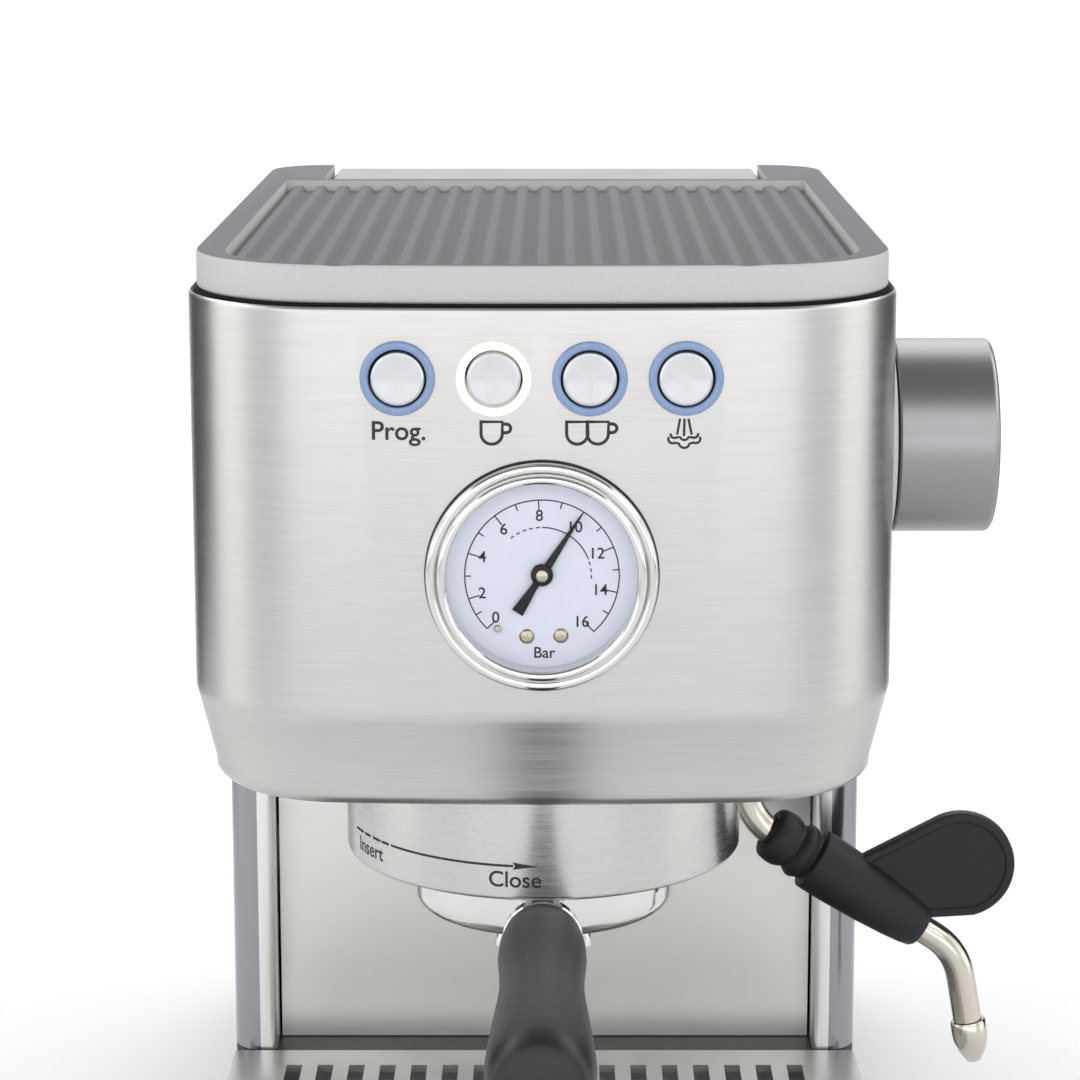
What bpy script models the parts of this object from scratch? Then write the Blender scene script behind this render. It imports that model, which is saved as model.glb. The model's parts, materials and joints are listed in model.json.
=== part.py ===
"""Compact pump espresso machine: housing, brew group, gauge, controls, steam wand, tray and tank.

Design frame: x = 0 is the centre plane, y = 0 is the foremost line of the head's front face with +Y
towards the back, z = 0 is the counter.  The root empty moves all of it at the end, so that the
origin is under the middle of the whole machine.
"""
import math

import bmesh
import bpy
from mathutils import Matrix, Vector

MM = 0.001
GAP = 0.3 * MM                    # clearance between two pieces that touch
SHEET = 1.2 * MM                  # pressed steel
WALL = 2.5 * MM                   # moulded plastic

# Housing
BODY_HALF = 101 * MM              # half the width of head and column
BODY_BACK = 300 * MM              # y of the back
FRONT_BOW = 2.0 * MM              # how far the front face bulges between its corners
FRONT_CORNER = 45 * MM            # plan radius of the head's front corners
REAR_CORNER = 22 * MM
FOOT_HEIGHT = 5 * MM
FOOT_R = 12 * MM
BASE_HEIGHT = 33 * MM
BASE_TOP = FOOT_HEIGHT + BASE_HEIGHT
PAN_TOP = FOOT_HEIGHT + 3 * MM    # upper side of the pan's floor
PAN_WALL = 4 * MM
PAN_INSET = 6 * MM
LID_TOP = 310 * MM                # overall height
LID_HEIGHT = 10.9 * MM
LID_SHADOW = 0.8 * MM             # dark line between lid and head
LID_INSET = 2.4 * MM
LID_BOTTOM = LID_TOP - LID_HEIGHT
HEAD_TOP = LID_BOTTOM - LID_SHADOW
HEAD_HEIGHT = 142.6 * MM
SKIRT_BOTTOM = HEAD_TOP - HEAD_HEIGHT
SKIRT_HEIGHT = 27 * MM            # from the lower edge up to where the head starts to draw in
CREASE = SKIRT_BOTTOM + SKIRT_HEIGHT
SKIRT_DRAW = 11 * MM              # how far the lower edge is drawn in
COLUMN_FRONT = 123 * MM           # y of the column's front posts
COLUMN_RECESS = 13 * MM           # from the posts back to the panel between them
COLUMN_PANEL = COLUMN_FRONT + COLUMN_RECESS
POST_WIDTH = 14 * MM
POST_RADIUS = 10 * MM
PLATE_LIFT = 1.3 * MM             # underside of the head's bottom plate above the skirt's edge
PLATE = 2 * MM
PLATE_LOW = SKIRT_BOTTOM + PLATE_LIFT
PLATE_TOP = PLATE_LOW + PLATE

# Cup warmer and tank bay
TANK_DEPTH = 56 * MM
TANK_SIDE = 25 * MM               # housing left each side of the tank
TANK_CORNER = 14 * MM
TANK_BACK_RADIUS = 6 * MM
TANK_BACK = BODY_BACK - 0.8 * MM
TANK_HALF = BODY_HALF - TANK_SIDE
TANK_FRONT = BODY_BACK - TANK_DEPTH
TANK_SINK = 13 * MM               # rim of the tank below the top of the lid
BAY_PLAY = 1 * MM                 # play round the tank in its bay
WARMER_RIM = 9.0 * MM             # lid frame left beside the warmer
WARMER_HALF = BODY_HALF - LID_INSET - WARMER_RIM
WARMER_BACK = TANK_FRONT - 6 * MM
WARMER_FRONT = 4.5 * MM
WARMER_CORNER = 36 * MM
WARMER_RECESS = 2.0 * MM
RIB_PITCH = 7.75 * MM
RIB_HEIGHT = 1.8 * MM
PLATE_THICK = 1.4 * MM

# Front controls
BUTTON_Z = HEAD_TOP - 19.2 * MM
BUTTON_PITCH = 26.2 * MM
BUTTON_RING_R = 10.3 * MM
BUTTON_CAP_R = 7.35 * MM
BUTTON_PLAY = 0.35 * MM
BUTTON_DEPTH = 5 * MM
GAUGE_Z = HEAD_TOP - 74 * MM
GAUGE_BEZEL_R = 32 * MM
GAUGE_RIM = 5.4 * MM              # width of the bezel
GAUGE_LENS_R = GAUGE_BEZEL_R - GAUGE_RIM - GAP
GAUGE_CASE_R = GAUGE_BEZEL_R - 3.4 * MM
GAUGE_DEPTH = 26 * MM
POINTER_REST = 32.7               # degrees clockwise from upright, 10 bar
POINTER_REACH = 21 * MM
POINTER_TAIL = 13 * MM

# Steam knob on the right side
KNOB_Y = 90 * MM
KNOB_Z = HEAD_TOP - 50.8 * MM
KNOB_R = 29.2 * MM
KNOB_LENGTH = 29.5 * MM
KNOB_RING_R = KNOB_R + 2 * MM
KNOB_RING = 2.8 * MM
SHAFT_R = 3.8 * MM
VALVE_R = 12.5 * MM
VALVE_LENGTH = 34 * MM
VALVE_SET = 10 * MM               # end of the valve inside the housing's side

# Brew group
GROUP_Y = 74 * MM
COLLAR_R = 59.4 * MM
COLLAR_SHOW = 30.2 * MM
COLLAR_WALL = 7.5 * MM
COLLAR_BOTTOM = SKIRT_BOTTOM - COLLAR_SHOW
GROUP_R = COLLAR_R - COLLAR_WALL - GAP
GROUP_TOP = PLATE_TOP + GAP + 23.4 * MM
GROUP_LIP_R = 34 * MM
GROUP_GROOVE_R = GROUP_LIP_R + 5 * MM
BASKET_R = GROUP_LIP_R - 5.2 * MM
BASKET_DEPTH = 23 * MM
RIM_Z = COLLAR_BOTTOM + 17 * MM   # top of the portafilter's rim when it is locked
RIM_PLAY = 0.8 * MM
EAR_LOW = RIM_Z - 7.5 * MM
EAR_THICK = 5 * MM
EAR_WIDTH = 26 * MM
SCREW_R = 2 * MM
BOWL_R = 39.6 * MM
BOWL_BOTTOM = COLLAR_BOTTOM - 16.5 * MM
SPOUT_BOTTOM = BOWL_BOTTOM - 16.5 * MM
HANDLE_Z = BOWL_BOTTOM + 5 * MM
HANDLE_START = GROUP_Y - COLLAR_R + 3 * MM
HANDLE_LENGTH = 116 * MM
HANDLE_R = 14.5 * MM
NECK_LENGTH = 18 * MM             # rod of the bowl inside the handle
INSERT_TURN = 50                  # degrees from the closed place to the insert place

# Steam wand
WAND_X = 62.8 * MM
WAND_Y = 100 * MM
BALL_R = 8.5 * MM
BALL_Z = PLATE_TOP + GAP + 9.7 * MM
SOCKET_ROOF = 3.5 * MM            # top of the socket above the ball
TUBE_R = 4.5 * MM
WAND_BEND = 20 * MM               # bend radius of the tube
WAND_SLOPE = 33.4                 # degrees below level of the arm
WAND_ARM_START = COLLAR_BOTTOM - 6.6 * MM
GRIP_R = 9.75 * MM
GRIP_LENGTH = 58 * MM
GRIP_LEAD = 2 * MM                # how far the grip starts before the arm
ARM_POINT = 8                     # point of the tube's path where the arm starts
PADDLE_R = 17 * MM
PADDLE_REACH = 60.3 * MM          # from the grip's start to the middle of the round end, along X
PADDLE_DROP = 11 * MM
PADDLE_THICK = 5 * MM
NOZZLE_BOTTOM = BASE_TOP + 6 * MM
NOZZLE_LENGTH = 14 * MM

# Tray
TRAY_FRONT = -20 * MM
TRAY_CORNER = 40 * MM
TRAY_SINK = 2 * MM                # rim of the tray below the top of the base
GRID_THICK = 2.5 * MM
GRID_SLOTS = 17
SLOT_PITCH = 10 * MM
SLOT_WIDTH = 5 * MM
FLOAT_R = 5 * MM
FLOAT_SET = 26 * MM               # float behind the tray's front

# Machinery and fittings at the back
BLOCK_LOW = GROUP_TOP + 5 * MM    # underside of the heater
BLOCK_HEIGHT = 43 * MM
BLOCK_HALF = 46 * MM
BLOCK_BACK = GROUP_Y + 36 * MM
BOARD_HALF = 55 * MM
BOARD_THICK = 1.6 * MM
BOARD_PARTS = (                   # x, z above the board's lower edge, width, height, depth
    (-30 * MM, 20 * MM, 26 * MM, 22 * MM, 18 * MM), (10 * MM, 25 * MM, 18 * MM, 30 * MM, 14 * MM),
    (36 * MM, 50 * MM, 14 * MM, 14 * MM, 20 * MM), (-20 * MM, 58 * MM, 40 * MM, 12 * MM, 8 * MM))
PIPE_R = 2.5 * MM
GLAND_X, GLAND_Z, GLAND_R = -60 * MM, 20 * MM, 6 * MM
HOSE_R = 3.4 * MM
HOSE_X, HOSE_Y, HOSE_Z = 60 * MM, TANK_FRONT + 18 * MM, 20 * MM
PUMP_R = 21 * MM
PUMP_Y, PUMP_Z = COLUMN_PANEL + 54 * MM, PAN_TOP + PUMP_R + 15 * MM
PUMP_FRONT, PUMP_REAR = 45 * MM, -60 * MM
SWITCH_Y, SWITCH_Z = TANK_FRONT + 18 * MM, BASE_TOP + 46 * MM
SWITCH_W, SWITCH_H = 13 * MM, 21 * MM
SWITCH_TILT = 8                   # degrees each way

NAME = "espresso_machine"
FACETS = 30                       # sides of a large turned piece
SMALL_FACETS = 14


# ---------------------------------------------------------------- scene and materials
def clear_scene():
    for obj in list(bpy.data.objects):
        bpy.data.objects.remove(obj, do_unlink=True)
    for coll in list(bpy.data.collections):
        bpy.data.collections.remove(coll)


def new_collection(name):
    coll = bpy.data.collections.new(name)
    bpy.context.scene.collection.children.link(coll)
    return coll


def finish(name, colour, roughness, metallic):
    mat = bpy.data.materials.new(name)
    mat.use_nodes = True
    shader = mat.node_tree.nodes["Principled BSDF"]
    shader.inputs["Base Color"].default_value = (*colour, 1)
    shader.inputs["Roughness"].default_value = roughness
    shader.inputs["Metallic"].default_value = metallic
    mat.diffuse_color = (*colour, 1)
    return mat


clear_scene()
PARTS = new_collection(NAME)
CUTTERS = new_collection(NAME + "_cutters")
ROOT = bpy.data.objects.new(NAME + "_root", None)
PARTS.objects.link(ROOT)

STEEL = finish("brushed_steel", (0.62, 0.62, 0.62), 0.32, 1.0)
CHROME = finish("polished_chrome", (0.80, 0.80, 0.80), 0.08, 1.0)
ALUMINIUM = finish("spun_aluminium", (0.66, 0.66, 0.67), 0.30, 1.0)
FRAME_GREY = finish("metallic_grey_plastic", (0.45, 0.45, 0.46), 0.45, 0.4)
WARMER_GREY = finish("matt_grey_plate", (0.22, 0.22, 0.23), 0.6, 0.2)
PANEL_GREY = finish("satin_column_paint", (0.55, 0.56, 0.57), 0.35, 0.7)
BLACK = finish("black_plastic", (0.02, 0.02, 0.022), 0.45, 0.0)
RUBBER = finish("black_rubber", (0.02, 0.02, 0.02), 0.8, 0.0)
RING_BLUE = finish("blue_ring", (0.16, 0.24, 0.42), 0.25, 0.0)
DIAL_WHITE = finish("dial_card", (0.80, 0.81, 0.90), 0.5, 0.0)
GLASS = finish("clear_lens", (0.9, 0.95, 0.95), 0.05, 0.0)
SMOKE = finish("smoked_tank", (0.35, 0.38, 0.40), 0.15, 0.0)
CAST = finish("cast_metal", (0.50, 0.48, 0.45), 0.5, 0.9)
BOARD = finish("circuit_board", (0.03, 0.20, 0.08), 0.5, 0.0)
SILICONE = finish("silicone_hose", (0.75, 0.75, 0.72), 0.6, 0.0)
RED = finish("red_float", (0.55, 0.04, 0.03), 0.5, 0.0)


# ---------------------------------------------------------------- shape helpers
def add(name, mesh, mat, location=(0, 0, 0), rotation=(0, 0, 0)):
    """An object for the mesh; a piece when it has a material, otherwise a hidden cutter."""
    obj = bpy.data.objects.new(name, mesh)
    obj.location = location
    obj.rotation_euler = rotation
    obj.parent = ROOT
    if mat is None:
        CUTTERS.objects.link(obj)
        obj.hide_render = True
        obj.display_type = "WIRE"
    else:
        PARTS.objects.link(obj)
        obj.data.materials.append(mat)
    return obj


def mesh_from(name, bm):
    mesh = bpy.data.meshes.new(name)
    bmesh.ops.recalc_face_normals(bm, faces=bm.faces)
    bm.to_mesh(mesh)
    bm.free()
    return mesh


def box(name, low, high, mat, bevel=0.0, location=None, rotation=(0, 0, 0)):
    """A block between two corners; with a location the corners count from there."""
    low, high = Vector(low), Vector(high)
    bm = bmesh.new()
    bmesh.ops.create_cube(bm, size=1)
    bmesh.ops.scale(bm, vec=high - low, verts=bm.verts)
    offset = (low + high) / 2
    if location is None:
        location = offset
    else:
        bmesh.ops.translate(bm, vec=offset, verts=bm.verts)
    obj = add(name, mesh_from(name, bm), mat, location, rotation)
    if bevel:
        round_edges(obj, bevel)
    return obj


def round_edges(obj, width, segments=2, angle=40):
    mod = obj.modifiers.new("rounded_edges", "BEVEL")
    mod.width = width
    mod.segments = segments
    mod.limit_method = "ANGLE"
    mod.angle_limit = math.radians(angle)
    return mod


def cylinder(name, radius, low, high, mat, location=(0, 0, 0), rotation=(0, 0, 0), facets=SMALL_FACETS):
    bm = bmesh.new()
    bmesh.ops.create_cone(bm, cap_ends=True, segments=facets, radius1=radius, radius2=radius,
                          depth=high - low)
    bmesh.ops.translate(bm, vec=(0, 0, (low + high) / 2), verts=bm.verts)
    obj = add(name, mesh_from(name, bm), mat, location, rotation)
    smooth(obj)
    return obj


def smooth(obj, angle=35):
    obj.data.shade_smooth()
    obj.data.set_sharp_from_angle(angle=math.radians(angle))


def turned(name, profile, mat, location, rotation=(0, 0, 0), facets=FACETS, closed=False):
    """A profile of (radius, height) turned about local Z, listed down its outer side."""
    mesh = bpy.data.meshes.new(name)
    edges = [(i, i + 1) for i in range(len(profile) - 1)]
    if closed:
        edges.append((len(profile) - 1, 0))
    mesh.from_pydata([(r, 0, h) for r, h in profile], edges, [])
    obj = add(name, mesh, mat, location, rotation)
    screw = obj.modifiers.new("turned", "SCREW")
    screw.steps = facets
    screw.render_steps = facets
    screw.use_merge_vertices = True
    screw.merge_threshold = 0.00001
    screw.use_smooth_shade = True
    return obj


def prism(name, outline, low, high, mat, location=(0, 0, 0), rotation=(0, 0, 0)):
    """A flat outline in local XY raised from low to high."""
    bm = bmesh.new()
    face = bm.faces.new([bm.verts.new((x, y, low)) for x, y in outline])
    raised = bmesh.ops.extrude_face_region(bm, geom=[face])
    top = [v for v in raised["geom"] if isinstance(v, bmesh.types.BMVert)]
    bmesh.ops.translate(bm, vec=(0, 0, high - low), verts=top)
    return add(name, mesh_from(name, bm), mat, location, rotation)


def tube(name, points, radius, mat, resolution=2):
    """A round tube with filled ends along points."""
    curve = bpy.data.curves.new(name, "CURVE")
    curve.dimensions = "3D"
    curve.bevel_depth = radius
    curve.bevel_resolution = resolution
    curve.use_fill_caps = True
    spline = curve.splines.new("POLY")
    spline.points.add(len(points) - 1)
    for point, place in zip(spline.points, points):
        point.co = (*place, 1)
    return add(name, curve, mat)


def as_mesh(obj):
    """The curve object as a welded mesh object that Boolean modifiers can use."""
    bpy.context.view_layer.update()
    depsgraph = bpy.context.evaluated_depsgraph_get()
    mesh = bpy.data.meshes.new_from_object(obj.evaluated_get(depsgraph))
    bm = bmesh.new()
    bm.from_mesh(mesh)
    bmesh.ops.remove_doubles(bm, verts=bm.verts, dist=0.000005)
    bmesh.ops.recalc_face_normals(bm, faces=bm.faces)
    bm.to_mesh(mesh)
    bm.free()
    name = obj.name
    collection = obj.users_collection[0]
    solid = bpy.data.objects.new(name, mesh)
    solid.parent = ROOT
    collection.objects.link(solid)
    solid.matrix_world = obj.matrix_world
    solid.hide_render = obj.hide_render
    solid.display_type = obj.display_type
    bpy.data.objects.remove(obj, do_unlink=True)
    solid.name = name
    return solid


def boolean(obj, other, operation="DIFFERENCE"):
    mod = obj.modifiers.new(operation.lower(), "BOOLEAN")
    mod.object = other
    mod.operation = operation
    mod.solver = "EXACT"
    return mod


def arc(centre, radius, start, end, steps):
    """Points on a circle from start to end degrees, both included."""
    points = []
    for i in range(steps + 1):
        a = math.radians(start + (end - start) * i / steps)
        points.append((centre[0] + radius * math.cos(a), centre[1] + radius * math.sin(a)))
    return points


def mirrored(half):
    """A closed outline from its +X half, which runs from front to back."""
    return half + [(-x, y) for x, y in reversed(half) if x > 1e-9]


BOW_R = ((BODY_HALF - FRONT_CORNER) ** 2 + FRONT_BOW ** 2) / (2 * FRONT_BOW)


def face_y(x):
    """y of the head's bowed front face at x."""
    return BOW_R - math.sqrt(BOW_R ** 2 - x * x)


def body_outline(inset=0.0, front=0.0, back=BODY_BACK, corner=FRONT_CORNER, rear=REAR_CORNER):
    """The housing's plan: bowed front, round corners, straight sides, all drawn in by inset."""
    centre_x = BODY_HALF - corner
    centre_y = BOW_R - math.sqrt((BOW_R - corner) ** 2 - centre_x ** 2)
    lean = math.degrees(math.asin(centre_x / (BOW_R - corner)))
    half = arc((0, front + BOW_R), BOW_R - inset, -90, -90 + lean, 3)[:-1]
    half += arc((centre_x, front + centre_y), corner - inset, -90 + lean, 0, 9)
    rear_centre = (BODY_HALF - rear, back - rear)
    if rear > inset:
        half += arc(rear_centre, rear - inset, 0, 90, 4)
    else:
        half.append((BODY_HALF - inset, back - inset))
    half.append((0, back - inset))
    return mirrored(half)


def loft(name, rings, mat, closed_ring=True):
    """A surface through rings of equal point count, each a list of 3D points."""
    bm = bmesh.new()
    rows = [[bm.verts.new(p) for p in ring] for ring in rings]
    count = len(rings[0])
    for low, high in zip(rows, rows[1:]):
        for i in range(count if closed_ring else count - 1):
            j = (i + 1) % count
            bm.faces.new((low[i], low[j], high[j], high[i]))
    return add(name, mesh_from(name, bm), mat)


def thicken(obj, thickness):
    """Gives an open surface its wall, inwards from its outer face."""
    mod = obj.modifiers.new("wall", "SOLIDIFY")
    mod.thickness = thickness
    mod.offset = -1
    mod.use_even_offset = True
    return mod


# ---------------------------------------------------------------- base, column, head
def base_pan():
    """Floor under the tray and a box under the column, with room for the pump inside."""
    outline = body_outline(PAN_INSET, TRAY_FRONT, BODY_BACK, TRAY_CORNER)
    pan = prism("base_pan", outline, FOOT_HEIGHT, PAN_TOP, BLACK)
    boolean(pan, prism("base_block", column_outline(0), FOOT_HEIGHT, BASE_TOP, None), "UNION")
    side = BODY_HALF - PAN_WALL
    shelf = TANK_FRONT - PAN_WALL
    boolean(pan, box("pump_pocket", (-side, COLUMN_PANEL + PAN_WALL, PAN_TOP),
                     (side, shelf, BASE_TOP + PAN_WALL), None))
    boolean(pan, box("shelf_pocket", (-TANK_HALF, shelf + PAN_WALL, 0),
                     (TANK_HALF, BODY_BACK - PAN_WALL, BASE_TOP - PAN_WALL), None))
    boolean(pan, cylinder("shelf_hole", HOSE_R + 2 * MM, BASE_TOP - 2 * PAN_WALL, BASE_TOP + PAN_WALL, None,
                          (HOSE_X, HOSE_Y, 0)))
    boolean(pan, cylinder("hose_hole", HOSE_R + 1 * MM, shelf - PAN_WALL, shelf + 2 * PAN_WALL, None,
                          (HOSE_X, 0, HOSE_Z), (-math.pi / 2, 0, 0)))
    boolean(pan, cylinder("gland_hole", GLAND_R + GAP, BODY_BACK - 2 * PAN_WALL, BODY_BACK + PAN_WALL, None,
                          (GLAND_X, 0, GLAND_Z), (-math.pi / 2, 0, 0)))


def column_outline(inset):
    """Plan of the column block, whose front corners are the two posts."""
    half = [(0, COLUMN_FRONT + inset)]
    half += arc((BODY_HALF - POST_RADIUS, COLUMN_FRONT + POST_RADIUS), POST_RADIUS - inset, -90, 0, 4)
    half += arc((BODY_HALF - REAR_CORNER, BODY_BACK - REAR_CORNER), REAR_CORNER - inset, 0, 90, 4)
    half.append((0, BODY_BACK - inset))
    return mirrored(half)


def feet():
    spread = BODY_HALF - 23 * MM
    for word, y in (("front", TRAY_FRONT + 32 * MM), ("rear", BODY_BACK - 30 * MM)):
        for side, sx in (("left", -1), ("right", 1)):
            top = FOOT_HEIGHT - GAP
            turned(f"foot_{word}_{side}", [(0, top), (FOOT_R - 2 * MM, top), (FOOT_R, 1 * MM),
                                           (FOOT_R - 1 * MM, 0), (0, 0)],
                   RUBBER, (sx * spread, y, 0), facets=SMALL_FACETS)


def column_sides():
    """Left and right skins of the column, each from its front post round to the tank bay."""
    post_x = BODY_HALF - POST_WIDTH
    corner = (BODY_HALF - POST_RADIUS, COLUMN_FRONT + POST_RADIUS)
    rear = (BODY_HALF - REAR_CORNER, BODY_BACK - REAR_CORNER)
    path = [(post_x, COLUMN_PANEL + 2 * MM)]
    path += arc((post_x + 2 * MM, COLUMN_FRONT + 2 * MM), 2 * MM, 180, 270, 2)
    path += arc(corner, POST_RADIUS, -90, 0, 6)
    path += arc(rear, REAR_CORNER, 0, 90, 5)
    path.append((TANK_HALF + 2 * BAY_PLAY, BODY_BACK))
    for side, sx in (("left", -1), ("right", 1)):
        points = [(sx * x, y) for x, y in path]
        rings = [[(x, y, z) for x, y in points] for z in (BASE_TOP + GAP, CREASE - GAP - GAP)]
        if sx < 0:
            rings.reverse()
        skin = loft(f"column_side_{side}", rings, PANEL_GREY, closed_ring=False)
        orient_outward(skin)
        thicken(skin, 2 * MM)
        smooth(skin)
        if sx < 0:
            half_w, half_h = SWITCH_W / 2 + 2 * GAP, SWITCH_H / 2 + 2 * GAP
            boolean(skin, box("switch_hole", (-SWITCH_W, -half_w, -half_h), (SWITCH_W, half_w, half_h), None,
                              location=(-BODY_HALF, SWITCH_Y, SWITCH_Z)))


def orient_outward(obj):
    """Turns an upright open skin's faces away from the centre plane."""
    bm = bmesh.new()
    bm.from_mesh(obj.data)
    far = max(bm.faces, key=lambda f: abs(f.calc_center_median().x))
    if far.normal.x * far.calc_center_median().x < 0:
        bmesh.ops.reverse_faces(bm, faces=bm.faces)
    bm.to_mesh(obj.data)
    bm.free()


def column_panel():
    half = BODY_HALF - POST_WIDTH - 0.8 * MM
    box("column_front_panel", (-half, COLUMN_PANEL, BASE_TOP + GAP),
        (half, COLUMN_PANEL + 1.5 * MM, PLATE_LOW - GAP), STEEL)


def rear_chassis():
    """Wall between the machinery and the tank bay, which ties base, column and head together."""
    y = TANK_FRONT - 4 * MM
    box("rear_chassis", (-TANK_HALF, y - 2 * MM, BASE_TOP + GAP), (TANK_HALF, y, HEAD_TOP - 2 * MM), PANEL_GREY)


def skirt_profile():
    """(inset, z) from the head's top edge down to its turned-in lower edge."""
    profile = [(0.6 * MM, HEAD_TOP), (0, HEAD_TOP - 1.5 * MM), (0, CREASE + 3 * MM),
               (0.35 * MM, CREASE - 1 * MM), (SKIRT_DRAW - 5.5 * MM, SKIRT_BOTTOM + 5.5 * MM)]
    return profile + arc((SKIRT_DRAW, SKIRT_BOTTOM + 6 * MM), 6 * MM, 195, 270, 4)[1:]


def head_shell():
    """Brushed wrap round head and upper sides; its drawn-in skirt stops at the column."""
    rings = [[(x, y, z) for x, y in body_outline(inset)] for inset, z in skirt_profile()]
    shell = loft("head_shell", rings, STEEL)
    orient_outward(shell)
    thicken(shell, SHEET)
    smooth(shell)
    boolean(shell, box("column_clear", (-BODY_HALF * 2, COLUMN_FRONT - GAP, 0),
                       (BODY_HALF * 2, BODY_BACK * 2, CREASE), None))
    boolean(shell, box("tank_window", (-TANK_HALF - 2 * BAY_PLAY, BODY_BACK - 15 * MM, CREASE - 9 * MM),
                       (TANK_HALF + 2 * BAY_PLAY, BODY_BACK + 10 * MM, LID_TOP), None))
    boolean(shell, cylinder("gauge_hole", GAUGE_CASE_R + GAP, -8 * MM, 12 * MM, None, (0, 0, GAUGE_Z),
                            (-math.pi / 2, 0, 0), FACETS))
    for x in button_places():
        boolean(shell, cylinder("button_hole", BUTTON_RING_R - 0.6 * MM, -8 * MM, 9 * MM, None,
                                (x, face_y(x), BUTTON_Z), (-math.pi / 2, 0, 0)))
    boolean(shell, cylinder("shaft_hole", SHAFT_R + 1.2 * MM, BODY_HALF - 10 * MM, BODY_HALF + 5 * MM, None,
                            (0, KNOB_Y, KNOB_Z), (0, math.pi / 2, 0)))


def head_bottom_plate():
    """Closes the head's underside round the group and the wand."""
    inset = POST_WIDTH + 0.6 * MM
    outline = body_outline(inset, 0, COLUMN_PANEL + inset + 1.5 * MM, FRONT_CORNER, 0)
    plate = prism("head_bottom_plate", outline, PLATE_LOW, PLATE_TOP, PANEL_GREY)
    low, high = PLATE_LOW - PLATE, PLATE_TOP + PLATE
    boolean(plate, cylinder("group_hole", GROUP_R + GAP, low, high, None, (0, GROUP_Y, 0), facets=FACETS))
    boolean(plate, cylinder("wand_hole", TUBE_R + 1.5 * MM, low, high, None, (WAND_X, WAND_Y, 0)))


def warmer_outline(inset):
    half = [(0, WARMER_FRONT + inset)]
    half += arc((WARMER_HALF - WARMER_CORNER, WARMER_FRONT + WARMER_CORNER), WARMER_CORNER - inset, -90, 0, 6)
    half += [(WARMER_HALF - inset, WARMER_BACK - inset), (0, WARMER_BACK - inset)]
    return mirrored(half)


def top_frame():
    """Lid frame with a tray for the cup warmer and an opening for the tank."""
    frame = prism("top_frame", body_outline(LID_INSET), LID_BOTTOM, LID_TOP, FRAME_GREY)
    round_edges(frame, 1.6 * MM, 2, 60)
    seat = LID_TOP - WARMER_RECESS - RIB_HEIGHT - PLATE_THICK - GAP
    boolean(frame, prism("warmer_pocket", warmer_outline(0), seat, LID_TOP + 5 * MM, None))
    boolean(frame, prism("frame_hollow", warmer_outline(4 * MM), LID_BOTTOM - 5 * MM, seat - 2.2 * MM, None))
    boolean(frame, box("tank_opening", (-TANK_HALF - BAY_PLAY, TANK_FRONT - BAY_PLAY, LID_BOTTOM - 5 * MM),
                       (TANK_HALF + BAY_PLAY, BODY_BACK + 5 * MM, LID_TOP + 5 * MM), None))


def cup_warmer_plate():
    """Plate with straight ribs from front to back, cut to the pocket's outline."""
    top = LID_TOP - WARMER_RECESS
    count = int(2 * WARMER_HALF / RIB_PITCH)
    first = -(count - 1) / 2 * RIB_PITCH
    land, foot = RIB_PITCH * 0.22, RIB_PITCH * 0.36
    bottom = top - RIB_HEIGHT - PLATE_THICK
    base = bottom + PLATE_THICK
    comb = [(-WARMER_HALF, bottom), (WARMER_HALF, bottom), (WARMER_HALF, base)]
    for i in reversed(range(count)):
        x = first + i * RIB_PITCH
        comb += [(x + foot, base), (x + land, top), (x - land, top), (x - foot, base)]
    comb.append((-WARMER_HALF, base))
    plate = prism("cup_warmer_plate", comb, -WARMER_BACK - 10 * MM, 10 * MM, WARMER_GREY,
                  rotation=(math.pi / 2, 0, 0))
    trim = prism("warmer_trim", warmer_outline(GAP), LID_BOTTOM, LID_TOP + 5 * MM, None)
    boolean(plate, trim, "INTERSECT")


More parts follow.
